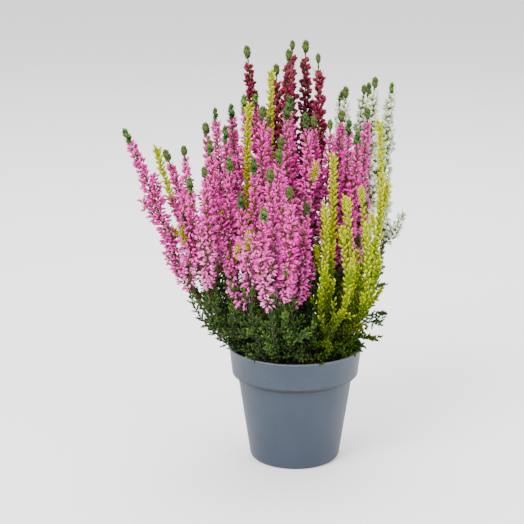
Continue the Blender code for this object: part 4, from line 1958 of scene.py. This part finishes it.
@dataclass
class Studio:
    """A plain pale floor, soft studio light, and the camera at the photograph's viewing angle."""

    distance: float = 1.15
    elevation: float = math.radians(15)
    field_of_view: float = 0.405
    aim: tuple[float, float, float] = (-0.026, 0.0, 0.158)
    sensor_width: float = 36
    room_light: float = 1.55
    floor_radius: float = 9

    def build(self) -> None:
        """Builds the floor, the lights and the camera."""
        self.lay_floor()
        self.light("key", (-0.9, -1.1, 1.5), 1.0, 54)
        self.light("fill", (1.3, -0.9, 0.8), 1.4, 15)
        self.light("top", (0.1, 0.7, 1.7), 1.4, 34)
        self.light_world()
        self.aim_camera()

    def lay_floor(self) -> None:
        """Lays the floor."""
        deselect_all()
        bpy.ops.mesh.primitive_circle_add(vertices=96, radius=self.floor_radius, fill_type="NGON")
        floor = bpy.context.object
        floor.name = "floor"
        floor.data.materials.append(FloorFinish().material())

    def light(self, name: str, place: tuple[float, float, float], size: float, power: float) -> None:
        """Hangs one soft square light that looks at the plant.

        Args:
            name: The light's name.
            place: Where it hangs.
            size: The length of its side.
            power: Its power in watts.
        """
        lamp = bpy.data.lights.new(name, "AREA")
        lamp.size = size
        lamp.energy = power
        holder = bpy.data.objects.new(name, lamp)
        holder.location = place
        holder.rotation_euler = (Vector(place) - Vector(self.aim)).to_track_quat("Z", "Y").to_euler()
        bpy.context.scene.collection.objects.link(holder)

    def light_world(self) -> None:
        """Lights the room evenly in white."""
        world = bpy.data.worlds.new("studio")
        world.use_nodes = True
        background = world.node_tree.nodes["Background"]
        background.inputs["Color"].default_value = (1.0, 1.0, 1.0, 1.0)
        background.inputs["Strength"].default_value = self.room_light
        bpy.context.scene.world = world

    def aim_camera(self) -> None:
        """Sets up the camera in front of the plant, looking down a little."""
        lens = bpy.data.cameras.new("camera")
        lens.sensor_width = self.sensor_width
        lens.lens = self.sensor_width * self.distance / self.field_of_view
        camera = bpy.data.objects.new("camera", lens)
        way = Vector((0, -math.cos(self.elevation), math.sin(self.elevation)))
        camera.location = Vector(self.aim) + self.distance * way
        camera.rotation_euler = way.to_track_quat("Z", "Y").to_euler()
        bpy.context.scene.collection.objects.link(camera)
        bpy.context.scene.camera = camera


FLORET_FINISHES = {
    Bloom.PINK: FloretFinish(
        "pink_sepals",
        faded=(1.0, 0.44, 0.80, 1),
        pale=(0.98, 0.13, 0.58, 1),
        mid=(0.76, 0.010, 0.40, 1),
        deep=(0.40, 0.003, 0.18, 1),
        fade=0.62,
        tip_highlight=0.45,
    ),
    Bloom.CRIMSON: FloretFinish(
        "crimson_sepals",
        faded=(0.38, 0.02, 0.11, 1),
        pale=(0.34, 0.008, 0.09, 1),
        mid=(0.20, 0.001, 0.036, 1),
        deep=(0.07, 0.0005, 0.011, 1),
        fade=0.2,
        tip_highlight=0.3,
    ),
    Bloom.WHITE: FloretFinish(
        "white_sepals",
        faded=(0.90, 0.90, 0.84, 1),
        pale=(0.93, 0.94, 0.90, 1),
        mid=(0.78, 0.81, 0.70, 1),
        deep=(0.36, 0.44, 0.22, 1),
        fade=0.4,
        tip_highlight=0.7,
    ),
}
WOOD_FINISHES = {
    Leafage.GREEN: WoodFinish(),
    Leafage.YELLOW: WoodFinish("lime_wood", twig=(0.20, 0.19, 0.005, 1.0)),
}
LEAF_FINISHES = {
    Leafage.GREEN: LeafFinish(
        "green_leaf",
        old=(0.004, 0.011, 0.003, 1),
        leaf=(0.019, 0.058, 0.009, 1),
        young=(0.13, 0.25, 0.012, 1),
        spike=(0.20, 0.15, 0.035, 1),
        low=60 * MM,
        high=140 * MM,
        fresh_low=0.15,
        fresh_high=0.60,
        bright_shoots=0.80,
        ripe_from=-0.6,
        sheen=0.25,
    ),
    Leafage.YELLOW: LeafFinish(
        "lime_leaf",
        old=(0.014, 0.048, 0.003, 1),
        leaf=(0.16, 0.28, 0.0, 1),
        young=(0.78, 0.70, 0.0, 1),
        spike=(0.46, 0.50, 0.0, 1),
        low=104 * MM,
        high=170 * MM,
        fresh_low=0.05,
        fresh_high=1.0,
        bright_shoots=0.0,
        ripe_from=0.25,
        sheen=0.06,
    ),
}


def settle(piece: bpy.types.Object, node: str) -> None:
    """Rides a finished piece on the body in place of its solid, and reports it.

    Args:
        piece: The finished piece.
        node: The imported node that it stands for.
    """
    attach(piece, BODY)
    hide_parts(node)
    LOG.info("%s: %d triangles", piece.name, sum(len(face.vertices) - 2 for face in piece.data.polygons))


@dataclass
class Grower:
    """Grows the plants from patterns and finishes that are made once and shared."""

    patterns: Patterns
    woods: dict[Leafage, bpy.types.Material]
    leaves: dict[Leafage, bpy.types.Material]
    petals: dict[Bloom, bpy.types.Material]

    def grow_plant(self, bed: Bed) -> None:
        """Builds one plant in place of its solids: its foliage, and then each of its spikes.

        Args:
            bed: Where the plant stands.
        """
        stems, leafage = upright_stems(bed), bed.leafage
        tuft = self.leaves[Leafage.YELLOW if bed.bloom is Bloom.PINK else leafage]
        plant = LeafyPlant(
            name=f"{bed.name}_foliage",
            foot=bed.foot,
            stems=stems,
            leafage=leafage,
            habit=bed.habit,
            seed=bed.seed,
            side_stems=low_stems(bed),
            undergrowth=FILLING.undergrowth(bed),
            green_shoots=FILLING.green(bed),
        )
        foliage = plant.build(self.patterns, self.leaves[leafage], tuft, self.woods[leafage])
        settle(foliage, f"{bed.name}_stems")
        if bed.bloom is Bloom.NONE:
            return
        for k, stem in enumerate(stems):
            spike = FloretSpike(f"{bed.name}_florets_{k + 1}", stem, bed.bloom, 100 * bed.seed + k)
            florets = spike.build(self.patterns, self.petals[bed.bloom])
            settle(florets, f"{bed.name}_spike_{k + 1}")

    def grow_sprig(self, sprig: LoneSprig) -> None:
        """Builds one lone yellow shoot in place of its solid.

        Args:
            sprig: Where the shoot stands.
        """
        stem = RULE.stem_to(sprig.foot, sprig.x, sprig.y, sprig.height, sprig.bend_out)
        lime = self.leaves[Leafage.YELLOW]
        shoot = LeafyPlant(f"{sprig.name}_shoot", sprig.foot, [stem], Leafage.YELLOW, LONE, sprig.seed)
        piece = shoot.build(self.patterns, lime, lime, self.woods[Leafage.YELLOW])
        settle(piece, sprig.name)


def main() -> None:
    """Builds the pot, the soil, every plant and the studio."""
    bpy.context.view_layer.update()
    grower = Grower(
        patterns=Patterns(),
        woods={leafage: finish.material() for leafage, finish in WOOD_FINISHES.items()},
        leaves={leafage: finish.material() for leafage, finish in LEAF_FINISHES.items()},
        petals={bloom: finish.material() for bloom, finish in FLORET_FINISHES.items()},
    )
    settle(NurseryPot().build(PotFinish().material()), "pot")
    settle(Soil().build(grower.patterns, SoilFinish().material()), "soil")
    for bed in BEDS:
        grower.grow_plant(bed)
    for sprig in SPRIGS:
        grower.grow_sprig(sprig)
    Studio().build()


if __name__ == "__main__":
    logging.basicConfig(level=logging.INFO)
    main()
